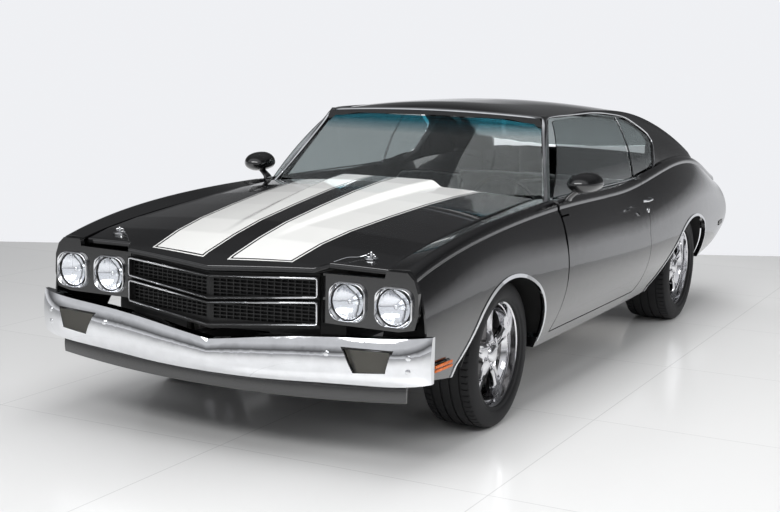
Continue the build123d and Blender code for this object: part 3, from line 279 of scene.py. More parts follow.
def dress_frame():
    """Gives every CAD node the material of its slot, or its own."""
    own = {"windshield": SHIELD, "hood": STRIPED, "steering_wheel": TRIM}
    for name, made in frame["nodes"].items():
        made.data.materials.clear()
        made.data.materials.append(own.get(name, LOOKS[SLOTS[name]]))


dress_frame()


# Mesh helpers: points are in millimetres. Points closer than WELD metres become one
WELD, SLIVER = 0.00002, 0.00001


def piece(name, body, shape, look, sharp=35):
    """A mesh piece riding on a body, from points and faces."""
    points, faces = shape
    mesh = bpy.data.meshes.new(name)
    mesh.from_pydata([tuple(c * MM for c in p) for p in points], [], [tuple(f) for f in faces])
    mesh.materials.append(look)
    made = bpy.data.objects.new(name, mesh)
    bpy.context.collection.objects.link(made)
    work = bmesh.new()
    work.from_mesh(mesh)
    bmesh.ops.remove_doubles(work, verts=work.verts, dist=WELD)
    bmesh.ops.dissolve_degenerate(work, edges=work.edges, dist=SLIVER)
    bmesh.ops.recalc_face_normals(work, faces=work.faces)
    work.to_mesh(mesh)
    work.free()
    mesh.shade_smooth()
    mesh.set_sharp_from_angle(angle=radians(sharp))
    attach(made, body)
    return made


def merged(*shapes):
    """Several point and face lists as one."""
    points, faces = [], []
    for some_points, some_faces in shapes:
        base = len(points)
        points += [tuple(p) for p in some_points]
        faces += [tuple(i + base for i in f) for f in some_faces]
    return points, faces


def flipped(shape):
    """The mirror image across the car."""
    return [(-p[0], p[1], p[2]) for p in shape[0]], [tuple(reversed(f)) for f in shape[1]]


def both(shape):
    """A shape and its mirror image."""
    return merged(shape, flipped(shape))


def quads(count, ring, wrap=False, closed=True):
    """Faces between count rows of ring points; wrap joins the last row to the first, closed a row's ends."""
    return [(i * ring + j, i * ring + (j + 1) % ring, (i + 1) % count * ring + (j + 1) % ring,
             (i + 1) % count * ring + j)
            for i in range(count if wrap else count - 1) for j in range(ring if closed else ring - 1)]


def plate_of(rows, push):
    """A closed plate: rows of points, and the same rows pushed by a vector."""
    wide, tall = len(rows[0]), len(rows)
    count = wide * tall
    points = [p for row in rows for p in row]
    points += [tuple(c + d for c, d in zip(p, push)) for p in points]
    faces = quads(tall, wide, closed=False)
    faces += [tuple(i + count for i in reversed(f)) for f in faces]
    rim = list(range(wide)) + [i * wide + wide - 1 for i in range(1, tall)]
    rim += [(tall - 1) * wide + j for j in range(wide - 2, -1, -1)]
    rim += [i * wide for i in range(tall - 2, 0, -1)]
    faces += [(a, b, b + count, a + count) for a, b in zip(rim, rim[1:] + rim[:1])]
    return points, faces


def swept(path, profile, closed=False, up=(0, 0, 1)):
    """A profile of (out, up) pairs carried along a path."""
    path = np.array(path, float)
    count, ring = len(path), len(profile)
    tangent = np.roll(path, -1, 0) - np.roll(path, 1, 0) if closed else np.gradient(path, axis=0)
    tangent /= np.linalg.norm(tangent, axis=1)[:, None]
    side = np.cross(tangent, np.broadcast_to(np.array(up, float), path.shape))
    side /= np.linalg.norm(side, axis=1)[:, None]
    ups = np.cross(side, tangent)
    points = [path[i] + side[i] * a + ups[i] * b for i in range(count) for a, b in profile]
    faces = quads(count, ring, wrap=closed)
    if not closed:
        faces += [tuple(range(ring)), tuple(range(ring * (count - 1), ring * count))]
    return points, faces


def smooth_path(points, per_run=6):
    """A path rounded through its points, by Catmull-Rom runs."""
    p = [np.array(q, float) for q in points]
    made = []
    for i in range(len(p) - 1):
        a, b = p[i], p[i + 1]
        before = p[i - 1] if i else 2 * a - b
        after = p[i + 2] if i + 2 < len(p) else 2 * b - a
        for k in range(per_run):
            t = k / per_run
            made.append(0.5 * (2 * a + (b - before) * t + (2 * before - 5 * a + 4 * b - after) * t ** 2
                               + (3 * a - before - 3 * b + after) * t ** 3))
    return made + [p[-1]]


def ring_of(radius, count=12, wide=1.0):
    """A round or oval profile."""
    return [(radius * wide * cos(2 * pi * i / count), radius * sin(2 * pi * i / count)) for i in range(count)]


def turned(profile, at, axis, count=96, closed=False):
    """A profile of (distance along the axis, radius) turned about an axis through at."""
    axis = Vector(axis).normalized()
    first = axis.orthogonal().normalized()
    second = axis.cross(first)
    points = []
    for k in range(count):
        angle = 2 * pi * k / count
        out = first * cos(angle) + second * sin(angle)
        points += [Vector(at) + axis * a + out * r for a, r in profile]
    return points, quads(count, len(profile), wrap=True, closed=closed)


def lofted(rings, closed=True):
    """A skin over rings of equal count, capped at both ends when closed."""
    count = len(rings[0])
    points = [tuple(p) for ring in rings for p in ring]
    faces = quads(len(rings), count)
    if closed:
        faces += [tuple(range(count)), tuple(range(len(points) - count, len(points)))]
    return points, faces


def values(rows, at):
    """A table's columns at one place, in straight runs between its rows."""
    rows = np.array(rows, float)
    return [float(np.interp(at, rows[:, 0], column)) for column in rows.T[1:]]


def smooth(share):
    """0 to 1 with soft ends."""
    share = min(max(share, 0.0), 1.0)
    return share * share * (3 - 2 * share)


# Hood: a dense crowned skin with the cowl bulge. y, z at its edges, z at its middle, height of the bulge
HOOD_ROWS = (
    (-2500, 750, 762, 0), (-2400, 782, 800, 0), (-2200, 824, 851, 0), (-2000, 850, 886, 6),
    (-1700, 877, 922, 14), (-1400, 900, 954, 21), (-1150, 916, 973, 26), (-840, 930, 984, 31),
)
# x and y along the front and rear edges, y and half width of the bulge at its foot and its top
HOOD_FRONT = ((0, -2490), (452, -2418), (490, -2358), (735, -2338))
HOOD_REAR = ((0, -985), (500, -915), (735, -856))
BULGE_FOOT, BULGE_TOP = ((-2140, 150), (-930, 305)), ((-2140, 110), (-930, 246))
HOOD_HALF, CROWN_HALF, HOOD_SKIN, INNER_INSET = 735, 770, 14, 14
# The rolled border's radius and steps, and where the dense middle starts
HOOD_ROLL, ROLL_STEPS, FLAT_FROM = 6, (0, 0.8, 2.5, 6), 14
HOOD_ACROSS, HOOD_ALONG = 150, 131
# Inner panel: x and half width of each raised rib, how far the rest is sunk and out to which x
RIB_X, RIB_HALF, RIB_DEPTH, RIB_REACH = 330, 90, 9, 690
HINGE_X, HINGE_Y, HINGE_Z = 700, -846, 886
PIN_X, PIN_Y, LANYARD_END = 618, -2262, (500, -2352)
UP, ACROSS, AHEAD = (0, 0, 1), (1, 0, 0), (0, -1, 0)


def hood_z(x, y):
    """Height of the hood's skin."""
    edge, middle, bulge = values(HOOD_ROWS, y)
    foot, top = values(BULGE_FOOT, y)[0], values(BULGE_TOP, y)[0]
    return middle - (middle - edge) * (x / CROWN_HALF) ** 2 + bulge * smooth((foot - abs(x)) / (foot - top))


def hood_rows(drop, inset=0):
    """The skin as rows of points, rolled over at its border."""
    half = HOOD_HALF - inset
    across = [*ROLL_STEPS, *np.linspace(FLAT_FROM, 2 * half - FLAT_FROM, HOOD_ACROSS),
              *(2 * half - step for step in ROLL_STEPS[::-1])]
    columns = []
    for x in (a - half for a in across):
        low, high = values(HOOD_FRONT, abs(x))[0] + inset, values(HOOD_REAR, abs(x))[0] - inset
        run = high - low - 2 * HOOD_ROLL
        along = [*(low + step for step in ROLL_STEPS),
                 *(low + HOOD_ROLL + run * j / HOOD_ALONG for j in range(HOOD_ALONG)),
                 *(high - step for step in ROLL_STEPS[::-1])]
        column = []
        for y in along:
            near = min(y - low, high - y, half - abs(x), HOOD_ROLL)
            roll = HOOD_ROLL - (HOOD_ROLL ** 2 - (HOOD_ROLL - near) ** 2) ** 0.5
            column.append((x, y, hood_z(x, y) - drop - roll))
        columns.append(column)
    return list(zip(*columns))


def hood_hinges():
    """The hinge arms and their pivots."""
    shapes = []
    for x in (HINGE_X, -HINGE_X):
        rows = [[(x - 8, -920, z), (x - 8, HINGE_Y, z - 10)] for z in (884, 908)]
        shapes.append(plate_of(rows, (16, 0, 0)))
        for half, radius, count in ((8, 12, 32), (20, 5.5, 24)):
            pivot = [(-half, 0), (-half, radius), (half, radius), (half, 0)]
            shapes.append(turned(pivot, (x, HINGE_Y, HINGE_Z), ACROSS, count))
    return shapes


def make_hood():
    """The striped skin, its dark inner panel and hinge arms, and the pins with their lanyards."""
    piece("hood_skin", "hood", plate_of(hood_rows(0), (0, 0, -HOOD_SKIN)), STRIPED)
    under = [row[::6] for row in hood_rows(HOOD_SKIN, INNER_INSET)[::6]]
    ribs = [[(x, y, z - RIB_DEPTH * (abs(abs(x) - RIB_X) > RIB_HALF and abs(x) < RIB_REACH))
             for x, y, z in row] for row in under]
    inner = plate_of(ribs, (0, 0, 3))
    piece("hood_inner", "hood", merged(inner, *hood_hinges()), TRIM)
    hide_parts("hood")
    scuff_plate = [(-3, 0), (-3, 29), (1, 29), (3, 27), (3.5, 22), (2.5, 12), (2.5, 0)]
    pin = [(0, 6), (20, 6), (25, 5), (28, 2.5), (28.5, 0)]
    shapes = []
    for side in (1, -1):
        x, y = side * PIN_X, PIN_Y
        z = hood_z(x, y)
        shapes.append(turned(scuff_plate, (x, y, z), UP, 48))
        shapes.append(turned(pin, (x, y, z), UP, 24))
        clip = [(x - side * 20 * cos(a), y + 8 * sin(2 * a), z + 12 + 7 * sin(a))
                for a in np.linspace(0, 2 * pi, 25)[:-1]]
        shapes.append(swept(clip, ring_of(1.6, 8), closed=True))
        end_x, end_y = LANYARD_END
        way = [(x - side * 20, y, z + 12), (x - side * 46, y - 22, z + 4), (x - side * 80, y - 52, z + 2.5),
               (side * end_x, end_y, hood_z(end_x, end_y) + 3)]
        shapes.append(swept(smooth_path(way), ring_of(1.5, 8)))
    piece("hood_pins", "hood", merged(*shapes), CHROME)


make_hood()

# Wheels and tyres: middle x, axle y and z, width of the tyre, its radius
WHEELS = {
    "front_left": (758, -1535, 326, 248, 326), "front_right": (-758, -1535, 326, 248, 326),
    "rear_left": (750, 1310, 330, 284, 330), "rear_right": (-750, 1310, 330, 284, 330),
}
# Radii of the tyre's seat, the rim, the circle of nuts and both ends of a spoke, and the number of spokes
SEAT_R, RIM_R, NUTS_R, SPOKE_FOOT_R, SPOKE_END_R, SPOKES = 229, 247, 58, 46, 221, 5
# Tread: each groove's middle as a share of the width and its half width, its depth and edge, the crown's drop
GROOVES = ((-0.27, 4.5), (-0.09, 4), (0.09, 4), (0.27, 4.5))
GROOVE_DEPTH, GROOVE_EDGE, CROWN_DROP = 7, 0.6, 5
# Shoulder blocks round the tyre: each column's share of a block and the depth of its cut
BLOCKS, SHOULDER = 66, 0.3
BLOCK_COLUMNS = ((0.0, 5.5), (0.1, 0), (0.13, 0), (0.55, 0), (0.87, 0), (0.9, 5.5))


def tyre_shape(at, side, width, radius):
    """A low tyre with rounded shoulders, grooves round it and cut shoulder blocks."""
    half = width / 2
    tread = half - 26

    def tread_r(a):
        return radius - CROWN_DROP * (a / tread) ** 2

    wall = [(half - 16, SEAT_R), (half - 10, SEAT_R + 3), (half - 7, SEAT_R + 17), (half - 4, SEAT_R + 20),
            (half - 1, SEAT_R + 30), (half, SEAT_R + 42), (half - 1.5, radius - 42), (half - 5, radius - 28),
            (half - 11, radius - 15), (half - 18, radius - 7.5)]
    crown = [(a, tread_r(a), 0) for a in np.linspace(tread, -tread, 27)]
    for share, wide in GROOVES:
        middle = share * width
        for a, deep in ((middle + wide + GROOVE_EDGE, 0), (middle + wide, GROOVE_DEPTH),
                        (middle - wide, GROOVE_DEPTH), (middle - wide - GROOVE_EDGE, 0)):
            crown.append((a, tread_r(a) - deep, deep))
        crown = [c for c in crown if not (abs(c[0] - middle) < wide and c[2] == 0)]
    crown.sort(key=lambda c: -c[0])
    lining = [(-half + 24, SEAT_R + 2), (-half + 16, SEAT_R + 40), (-half + 26, radius - 26),
              (0, radius - 16), (half - 26, radius - 26), (half - 16, SEAT_R + 40), (half - 24, SEAT_R + 2)]
    # The third number is 0 off the tread, 1 on it and more in a groove
    profile = [(a, r, 0) for a, r in wall] + [(a, r, 1 + deep) for a, r, deep in crown]
    profile += [(-a, r, 0) for a, r in reversed(wall)] + [(a, r, 0) for a, r in lining]
    points = []
    for share, cut in (((k + part) / BLOCKS, cut) for k in range(BLOCKS) for part, cut in BLOCK_COLUMNS):
        for a, r, kind in profile:
            reach = r - (cut if kind == 1 and abs(a) > SHOULDER * width else 0)
            slant = 0.25 / BLOCKS * np.sign(a) * min(1, abs(a) / tread) * (kind > 0)
            angle = 2 * pi * (share + slant)
            points.append((at[0] + side * a, at[1] + reach * cos(angle), at[2] + reach * sin(angle)))
    return points, quads(BLOCKS * len(BLOCK_COLUMNS), len(profile), wrap=True)


def about_axle(at, side, out, radius, angle):
    """A point out along the axle from the wheel's middle, at a radius and an angle."""
    return at[0] + side * out, at[1] + radius * cos(angle), at[2] + radius * sin(angle)


def spoke(at, side, face, angle):
    """One broad rounded spoke with a dished panel, from the hub to the lip."""
    rings = []
    for step in range(25):
        t = step / 24
        r = SPOKE_FOOT_R + (SPOKE_END_R - SPOKE_FOOT_R) * t
        half = 37 - 13 * smooth(t / 0.45) + 17 * smooth((t - 0.5) / 0.5)
        level = face + (10 * smooth(1 - t / 0.3) - 9 * smooth((t - 0.78) / 0.22) + 3)
        dish = 7 * smooth((t - 0.2) / 0.14) * smooth((0.93 - t) / 0.14)
        ring = []
        for k in range(17):
            s = -1 + 2 * k / 16
            crown = 9 * (1 - abs(s) ** 2.6)
            hollow = dish * smooth((0.62 - abs(s)) / 0.22)
            ring.append((level - 9 + crown - hollow, s * half))
        ring += [(level - 15, half), (level - 34, half * 0.8), (level - 34, -half * 0.8), (level - 15, -half)]
        made = []
        for out, across in ring:
            # The last rings bend to the lip's circle
            reach = (r * r - across * across) ** 0.5 if t > 0.9 else r
            y = reach * cos(angle) - across * sin(angle)
            z = reach * sin(angle) + across * cos(angle)
            made.append((at[0] + side * out, at[1] + y, at[2] + z))
        rings.append(made)
    return lofted(rings)


def wheel_shape(at, side, width):
    """A deep polished lip and barrel, five spokes, a domed hub and the wheel nuts."""
    edge = width / 2 - 9
    face = width / 2 - 58
    outer = [(edge - 1, RIM_R - 2), (edge - 4, RIM_R), (edge - 9, RIM_R - 2), (edge - 12, RIM_R - 10),
             (edge - 20, SEAT_R - 1), (edge - 30, SEAT_R - 1), (edge - 50, SEAT_R - 6),
             (edge - 80, SEAT_R - 18), (-edge + 60, SEAT_R - 18), (-edge + 34, SEAT_R - 4),
             (-edge + 20, SEAT_R - 1), (-edge + 12, RIM_R - 10), (-edge + 9, RIM_R - 2), (-edge + 4, RIM_R),
             (-edge + 1, RIM_R - 2)]
    inner = [(-edge + 1, RIM_R - 9), (-edge + 8, SEAT_R - 6), (-edge + 34, SEAT_R - 14),
             (-edge + 60, SEAT_R - 26), (face - 30, SEAT_R - 26), (face - 12, SEAT_R - 14),
             (face + 4, SEAT_R - 12), (face + 5, SEAT_R - 7), (face + 16, SEAT_R - 6),
             (edge - 18, SEAT_R - 5), (edge - 14, SEAT_R - 1), (edge - 12, SEAT_R + 4),
             (edge - 6, SEAT_R + 8), (edge - 2, RIM_R - 9), (edge, RIM_R - 5)]
    hub = [(face - 34, 0), (face - 34, 56), (face - 30, 68), (face - 2, 72), (face + 4, 66), (face + 6, 50),
           (face + 7, 44), (face + 16, 42), (face + 24, 36), (face + 29, 24), (face + 31, 0)]
    nut = [(face - 2, 0), (face - 2, 10.5), (face + 9, 10.5), (face + 10, 8), (face + 16, 6.5),
           (face + 18, 0)]
    axis = (side, 0, 0)
    shapes = [turned(outer + inner, at, axis, 128, closed=True)]
    for k in range(SPOKES):
        shapes.append(spoke(at, side, face, radians(90 + 360 / SPOKES * k)))
    shapes.append(turned(hub, at, axis, 72))
    for k in range(SPOKES):
        spot = about_axle(at, side, 0, NUTS_R, radians(90 + 36 + 360 / SPOKES * k))
        shapes.append(turned(nut, spot, axis, 6))
    return merged(*shapes)


def make_wheels():
    """Four wheels and tyres on their spinning bodies, with their valves."""
    stem = [(-4, 0), (-4, 4), (16, 4), (18, 2.5), (18, 0)]
    for name, (x, y, z, width, radius) in WHEELS.items():
        side = 1 if x > 0 else -1
        at = (x, y, z)
        body = name.replace("front_", "front_wheel_").replace("rear_", "rear_wheel_")
        rim = piece(f"rim_{name}", body, wheel_shape(at, side, width), ALLOY, 32)
        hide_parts(f"wheel_{name}")
        tyre = piece(f"rubber_{name}", body, tyre_shape(at, side, width, radius), RUBBER, 30)
        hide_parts(f"tyre_{name}")
        spot = about_axle(at, side, width / 2 - 22, SEAT_R - 14, radians(200))
        piece(f"valve_{name}", body, turned(stem, spot, (side, 0, 0), 16), CHROME)


make_wheels()

# Headlamps: fluted glass over a bright bowl, in rounded chrome bezels
LAMP_XS, LAMP_Z, LAMP_R, LAMP_DOME = (580, 781), 660, 70, 8
LENS_Y, FLUTES_Y = -2379, -2375


def rounded(half_x, half_z, corner):
    """Points (x, z) round a rounded rectangle, at equal angles."""
    points = []
    for c, s in ring_of(1.0, 96):
        low, high = 0.0, half_x + half_z
        for _ in range(24):
            r = (low + high) / 2
            over_x = max(0, abs(r * c) - half_x + corner)
            over_z = max(0, abs(r * s) - half_z + corner)
            if hypot(over_x, over_z) > corner:
                high = r
            else:
                low = r
        points.append((low * c, low * s))
    return points


def lamp_glass(x):
    """A domed lens, fluted behind."""
    rings = []
    for r in (0.01, 8, 16, 24, 32, 40, 48, 56, 63, 68, LAMP_R):
        y = LENS_Y - LAMP_DOME * (1 - (r / LAMP_R) ** 2)
        rings.append([(x + a, y, LAMP_Z + b) for a, b in ring_of(r, 120)])
    for r in (LAMP_R, 66, 60, 52, 44, 36, 28, 20, 12, 0.01):
        y = FLUTES_Y - LAMP_DOME * (1 - (r / LAMP_R) ** 2)
        flutes = [1.3 * abs(sin(a / 4.2)) + 0.8 * abs(sin(b / 11)) for a, b in ring_of(r, 120)]
        rings.append([(x + a, y - flute * (r < 67), LAMP_Z + b)
                      for (a, b), flute in zip(ring_of(r, 120), flutes)])
    return lofted(rings)


def make_lamps():
    """Both pairs of headlamps with bowls, bulbs, seats and bezels."""
    # Distance ahead and radius. The rim has y, half width, half height and corner, the throat y and radius
    bowl = [(2374, LAMP_R)]
    bowl += [(2374 - 34 * (1 - (r / LAMP_R) ** 2), r) for r in (64, 56, 48, 40, 32, 24, 16, 10)]
    bowl += [(2338, 10), (2336, LAMP_R - 8), (2372, LAMP_R + 1.5)]
    bulb = [(2340, 0), (2340, 11), (2358, 11), (2364, 9), (2367, 5), (2368, 0)]
    seat = [(2371, 71.5), (2382, 71.5), (2382.5, 70.5), (2382, 69.5), (2371, 69.5)]
    rim = [(-2374, 82, 79, 50), (-2386, 81, 78, 50), (-2392, 79, 76, 48), (-2393, 77, 74.5, 47),
           (-2391, 75.5, 73, 46)]
    throat = [(-2383, 73.5), (-2379, 72), (-2372, 71.5), (-2366, 74)]
    outlines = [(y, rounded(*sizes)) for y, *sizes in rim] + [(y, ring_of(r, 96)) for y, r in throat]
    outlines += [(-2366, rounded(78, 76, 50)), outlines[0]]
    glass, bowls, bezels, seats = [], [], [], []
    for x in LAMP_XS:
        at = (x, 0, LAMP_Z)
        glass.append(lamp_glass(x))
        bowls.append(turned(bowl, at, AHEAD, 96, closed=True))
        bowls.append(turned(bulb, at, AHEAD, 32))
        rings = [[(x + a, y, LAMP_Z + b) for a, b in outline] for y, outline in outlines]
        bezels.append(lofted(rings, closed=False))
        seats.append(turned(seat, at, AHEAD, 96, closed=True))
    lens = piece("lamp_lenses", "root", both(merged(*glass)), LENS, 30)
    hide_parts("headlamps")
    piece("lamp_bowls", "root", both(merged(*bowls)), BOWL, 40)
    piece("lamp_bezels", "root", both(merged(*bezels)), CHROME, 50)
    piece("lamp_seats", "root", both(merged(*seats)), TRIM)


make_lamps()

# Grille: bright lines round both openings. z of each opening's foot and head at the nose and at the end
GRILLE_NOSE, GRILLE_END, GRILLE_AHEAD = (0, -2472), (458, -2384), 22
OPENINGS = ((630, 728, 664, 748), (522, 620, 556, 652))


def make_grille_lines():
    """Bright lines standing on the grille's frames, and a near-black plate behind the mesh: painted shade
    inside the nose, over the dark radiator.
    """
    run = np.array(GRILLE_END, float) - GRILLE_NOSE
    length = float(np.hypot(*run))
    run /= length
    ahead = np.array((run[1], -run[0]))

    def spot(s, z, out):
        x, y = np.array(GRILLE_NOSE) + run * s + ahead * out
        return x, y, z

    profile = [(-3, -2), (-2.6, 1), (0, 2.2), (2.6, 1), (3, -2)]
    shapes = []
    for low_mid, top_mid, low_end, top_end in OPENINGS:
        path = [(4.5, top_mid - 4), (length - 14, top_end - 4.6), (length - 7, top_end - 7),
                (length - 4.5, top_end - 14), (length - 4.5, low_end + 14), (length - 7, low_end + 7),
                (length - 14, low_end + 4.6), (4.5, low_mid + 4)]
        rows = []
        for i, (s, z) in enumerate(path):
            before, after = path[max(i - 1, 0)], path[min(i + 1, len(path) - 1)]
            along = np.array(after, float) - before
            along /= np.hypot(*along)
            rows.append([spot(s - along[1] * a, z + along[0] * a, GRILLE_AHEAD + b) for a, b in profile])
        for row in (rows[0], rows[-1]):
            row[:] = [(0.0, y, z) for x, y, z in row]
        shapes.append(lofted(rows))
    piece("grille_lines", "root", both(merged(*shapes)), CHROME, 50)
    # The plate is painted shade: darker than the other blacks, it stands for the shade inside the nose as
    # well as the dark radiator there.
    back = [[spot(s, z, -12) for s in (5, length)] for z in (512, 750)]
    piece("grille_back", "root", both(plate_of(back, (0, 4, 0))), MESH)


make_grille_lines()

# The roof's side: y, x and z of the rail. Its foot stands on the belt
RAIL_ROWS = ((-470, 604, 1298), (0, 622, 1312), (400, 622, 1312), (800, 634, 1290), (1120, 662, 1240),
             (1380, 708, 1164), (1650, 764, 1050), (1820, 794, 964))


def bow_x(foot, middle, head, z):
    """x at the height z on the arc through three points (x, z)."""
    (ax, az), (bx, bz), (cx, cz) = foot, middle, head
    d = 2 * (ax * (bz - cz) + bx * (cz - az) + cx * (az - bz))
    a2, b2, c2 = ax ** 2 + az ** 2, bx ** 2 + bz ** 2, cx ** 2 + cz ** 2
    ux = (a2 * (bz - cz) + b2 * (cz - az) + c2 * (az - bz)) / d
    uz = (a2 * (cx - bx) + b2 * (ax - cx) + c2 * (bx - ax)) / d
    reach = ((ax - ux) ** 2 + (az - uz) ** 2 - (z - uz) ** 2) ** 0.5
    return ux + (reach if bx > ux else -reach)


def side_x(y, z):
    """x of the roof's side at y and z."""
    rail_x, rail_z = values(RAIL_ROWS, y)
    head = (rail_x + 13, rail_z - 26)
    lift = (rail_z - 900) * 0.06
    middle = ((806 + head[0]) / 2 + lift, (900 + head[1]) / 2 + 0.4 * lift)
    return bow_x((806, 900), middle, head, min(z, head[1]))


def glass_x(z):
    """x of the side glass at z."""
    return bow_x((807, 860), (745, 1105), (632, 1300), z)


def bar(wide, tall, crown=0.35):
    """A flat bar profile with a crowned top."""
    return [(-wide / 2, 0), (-wide / 2, tall * (1 - crown)), (-wide / 4, tall * 0.94), (0, tall),
            (wide / 4, tall * 0.94), (wide / 2, tall * (1 - crown)), (wide / 2, 0)]


# The belt moulding: y and z, and its x
BELT_ROWS = ((-1000, 934), (-400, 935), (300, 934), (540, 938), (760, 950))
BELT_X = 814


def belt_run(low, high, count):
    """The belt moulding from one y to another."""
    path = [(BELT_X, y, values(BELT_ROWS, y)[0]) for y in np.linspace(low, high, count)]
    return swept(path, ring_of(4, 10))


def make_trims():
    """Bright metal round the windshield, over the side windows and along the belt."""
    # The surround follows the posts and the roof's front edge
    half = [(772, -778, 920), (742, -714, 985), (690, -606, 1102), (640, -500, 1222), (622, -462, 1272),
            (604, -452, 1294)]
    half += [(x, -478 - 40 * (1 - (x / 604) ** 2) * 0.9, 1299 + 22 * (1 - (x / 604) ** 2))
             for x in (560, 470, 360, 240, 120, 0)]
    path = smooth_path(half + [(-x, y, z) for x, y, z in half[-2::-1]], 4)
    surround = swept(path, bar(15, 4.5), up=(0, -0.74, 0.67))
    # Drip rail: up beside the post, over the windows and down the sail
    window = [(-742, 985), (-600, 1120), (-470, 1246), (-418, 1290), (-340, 1303), (-60, 1305), (240, 1305),
              (500, 1290), (760, 1262), (900, 1212), (1000, 1166), (1022, 1138), (1024, 1104), (990, 1052),
              (938, 984), (880, 966)]
    rail = []
    for y, z in window:
        x = side_x(y, z) if y > -440 else 619 + (770 - 619) * (1300 - z) / (1300 - 915)
        rail.append((x + 5, y, z))
    drip = swept(smooth_path(rail, 5), ring_of(5, 10, 0.7))
    # Edge of the quarter glass
    edge = [(glass_x(z) + 3, 524 + (z - 876) * 0.1215, z) for z in np.linspace(934, 1268, 14)]
    pillar = swept(edge, bar(9, 3.5), up=(1, 0, 0.3))
    sides = both(merged(drip, pillar, belt_run(540, 760, 8)))
    piece("roof_trims", "root", merged(surround, sides), CHROME, 40)
    belt = belt_run(-730, 515, 24)
    piece("belt_trim_left", "door_left", belt, CHROME, 40)
    piece("belt_trim_right", "door_right", flipped(belt), CHROME, 40)


make_trims()


def make_bumper_fittings():
    """Bolt heads and the dark rims of the lamps in the front bumper, and the marker lamps on the flanks."""
    bolt = [(-4, 0), (-4, 11), (1, 11), (4, 8), (5.5, 0)]
    bolts = []
    for x, z in ((540, 470), (868, 482), (868, 430)):
        y = float(np.interp(x, (430, 660, 860, 945), (-2484, -2461, -2429, -2386)))
        bolts.append(turned(bolt, (x, y, z), (0.12, -1, 0), 32))
    # Lamp rim: corners (x, z), and y at x 600 and x 810
    outer = [(598, 502), (811, 506), (787, 410), (645, 398)]
    inner = [(606, 494), (801, 498), (780, 418), (652, 406)]
    front, back = (-2462, -2440), (-2445, -2423)

    def on(points, ys):
        return [(x, ys[0] + (ys[1] - ys[0]) * (x - 600) / 210, z) for x, z in points]

    rings = [on(outer, back), on(outer, front), on(inner, front), on(inner, back), on(outer, back)]
    markers = []
    for foot, head in ((404, 414), (420, 430)):
        ends = [(918.5 + (y + 2290) * 0.045 - 6, y) for y in (-2286, -2144)]
        markers.append(plate_of([[(x, y, foot), (x, y, head)] for x, y in ends], (6, 0, 0)))
    piece("bumper_bolts", "root", both(merged(*bolts)), CHROME, 30)
    piece("front_markers", "root", both(merged(*markers)), AMBER, 30)
    piece("lamp_rims", "root", both(lofted(rings, closed=False)), TRIM, 30)


make_bumper_fittings()


# Mirror shell: share of its length, half width, half height. Its front, length, x and lean
MIRROR_ROWS = ((0.0, 3, 3), (0.02, 18, 14), (0.08, 36, 27), (0.2, 55, 41), (0.38, 69, 50), (0.6, 77, 54),
               (0.85, 79, 54), (1.0, 76, 52), (1.0, 70, 47), (0.95, 68, 45))
MIRROR_Y, MIRROR_LONG, MIRROR_X, MIRROR_LEAN = -782, 150, 932, 14


def mirror_shell():
    """The bullet shell and its swept arm."""
    rings = []
    for t, wide, tall in MIRROR_ROWS:
        x, y = MIRROR_X - MIRROR_LEAN * (1 - t), MIRROR_Y + MIRROR_LONG * t
        rings.append([(x + wide * cos(a), y, 1008 - 4 * (1 - t) + tall * sin(a) * (0.86 if sin(a) < 0 else 1))
                      for a in np.linspace(0, 2 * pi, 49)[:-1]])
    arm = []
    for t in np.linspace(0, 1, 14):
        bend = smooth(t)
        x, y, z = 856 + 54 * bend, -706 + 8 * t, 926 + 56 * t + 6 * bend
        wide, deep = 34 - 12 * sin(pi * t * 0.8), 15 - 3 * t
        arm.append([(x + deep * cos(a), y + wide * sin(a), z - 6 * cos(a))
                    for a in np.linspace(0, 2 * pi, 25)[:-1]])
    return merged(lofted(rings), lofted(arm))


def make_door_fittings(side_name, mirror_image):
    """A bullet mirror on its swept arm, and the pull handle over its round lock."""
    body = f"door_{side_name}"
    shell = mirror_shell()
    face = turned([(-4, 0), (-4, 66), (0, 67), (0, 0)], (0, -640, 0), (0, 1, 0), 48)
    glass = [(MIRROR_X + x, y + 3, 1006 + z * 0.68) for x, y, z in face[0]]
    # Handle: a bar on two feet, with the lock under it
    grip = [(945, 252, 838), (962, 262, 840), (969, 285, 841), (969, 330, 842), (962, 352, 842),
            (944, 362, 842)]
    lock = [(0, 0), (0, 15), (5, 15), (8, 12), (9, 6), (7, 5), (7, 0)]
    bright = merged((glass, face[1]), swept(smooth_path(grip, 5), ring_of(7, 12, 0.75)),
                    turned(lock, (944, 344, 780), (1, 0, 0.12), 32))
    if mirror_image:
        shell, bright = flipped(shell), flipped(bright)
    made = piece(f"mirror_{side_name}", body, shell, PAINT, 40)
    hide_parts(f"door_fittings_{side_name}")
    piece(f"handle_{side_name}", body, bright, CHROME, 40)


make_door_fittings("left", False)
make_door_fittings("right", True)

# Seats: padded forms with pleats. Rows of the side view: y and z along the cushion and up the back
FRONT_CUSHION = ((-228, 330), (-240, 400), (-234, 462), (-200, 496), (-120, 502), (0, 492), (110, 480),
                 (170, 478))
FRONT_BACK = ((128, 470), (170, 560), (215, 680), (258, 800), (284, 862), (316, 896), (352, 896), (372, 860),
              (352, 720), (318, 560), (290, 440))
REAR_CUSHION = ((690, 440), (672, 490), (690, 532), (760, 542), (860, 526), (940, 510), (980, 508))
REAR_BACK = ((930, 505), (975, 600), (1020, 700), (1062, 800), (1086, 842), (1116, 858), (1150, 850),
             (1160, 800), (1140, 620), (1128, 545))


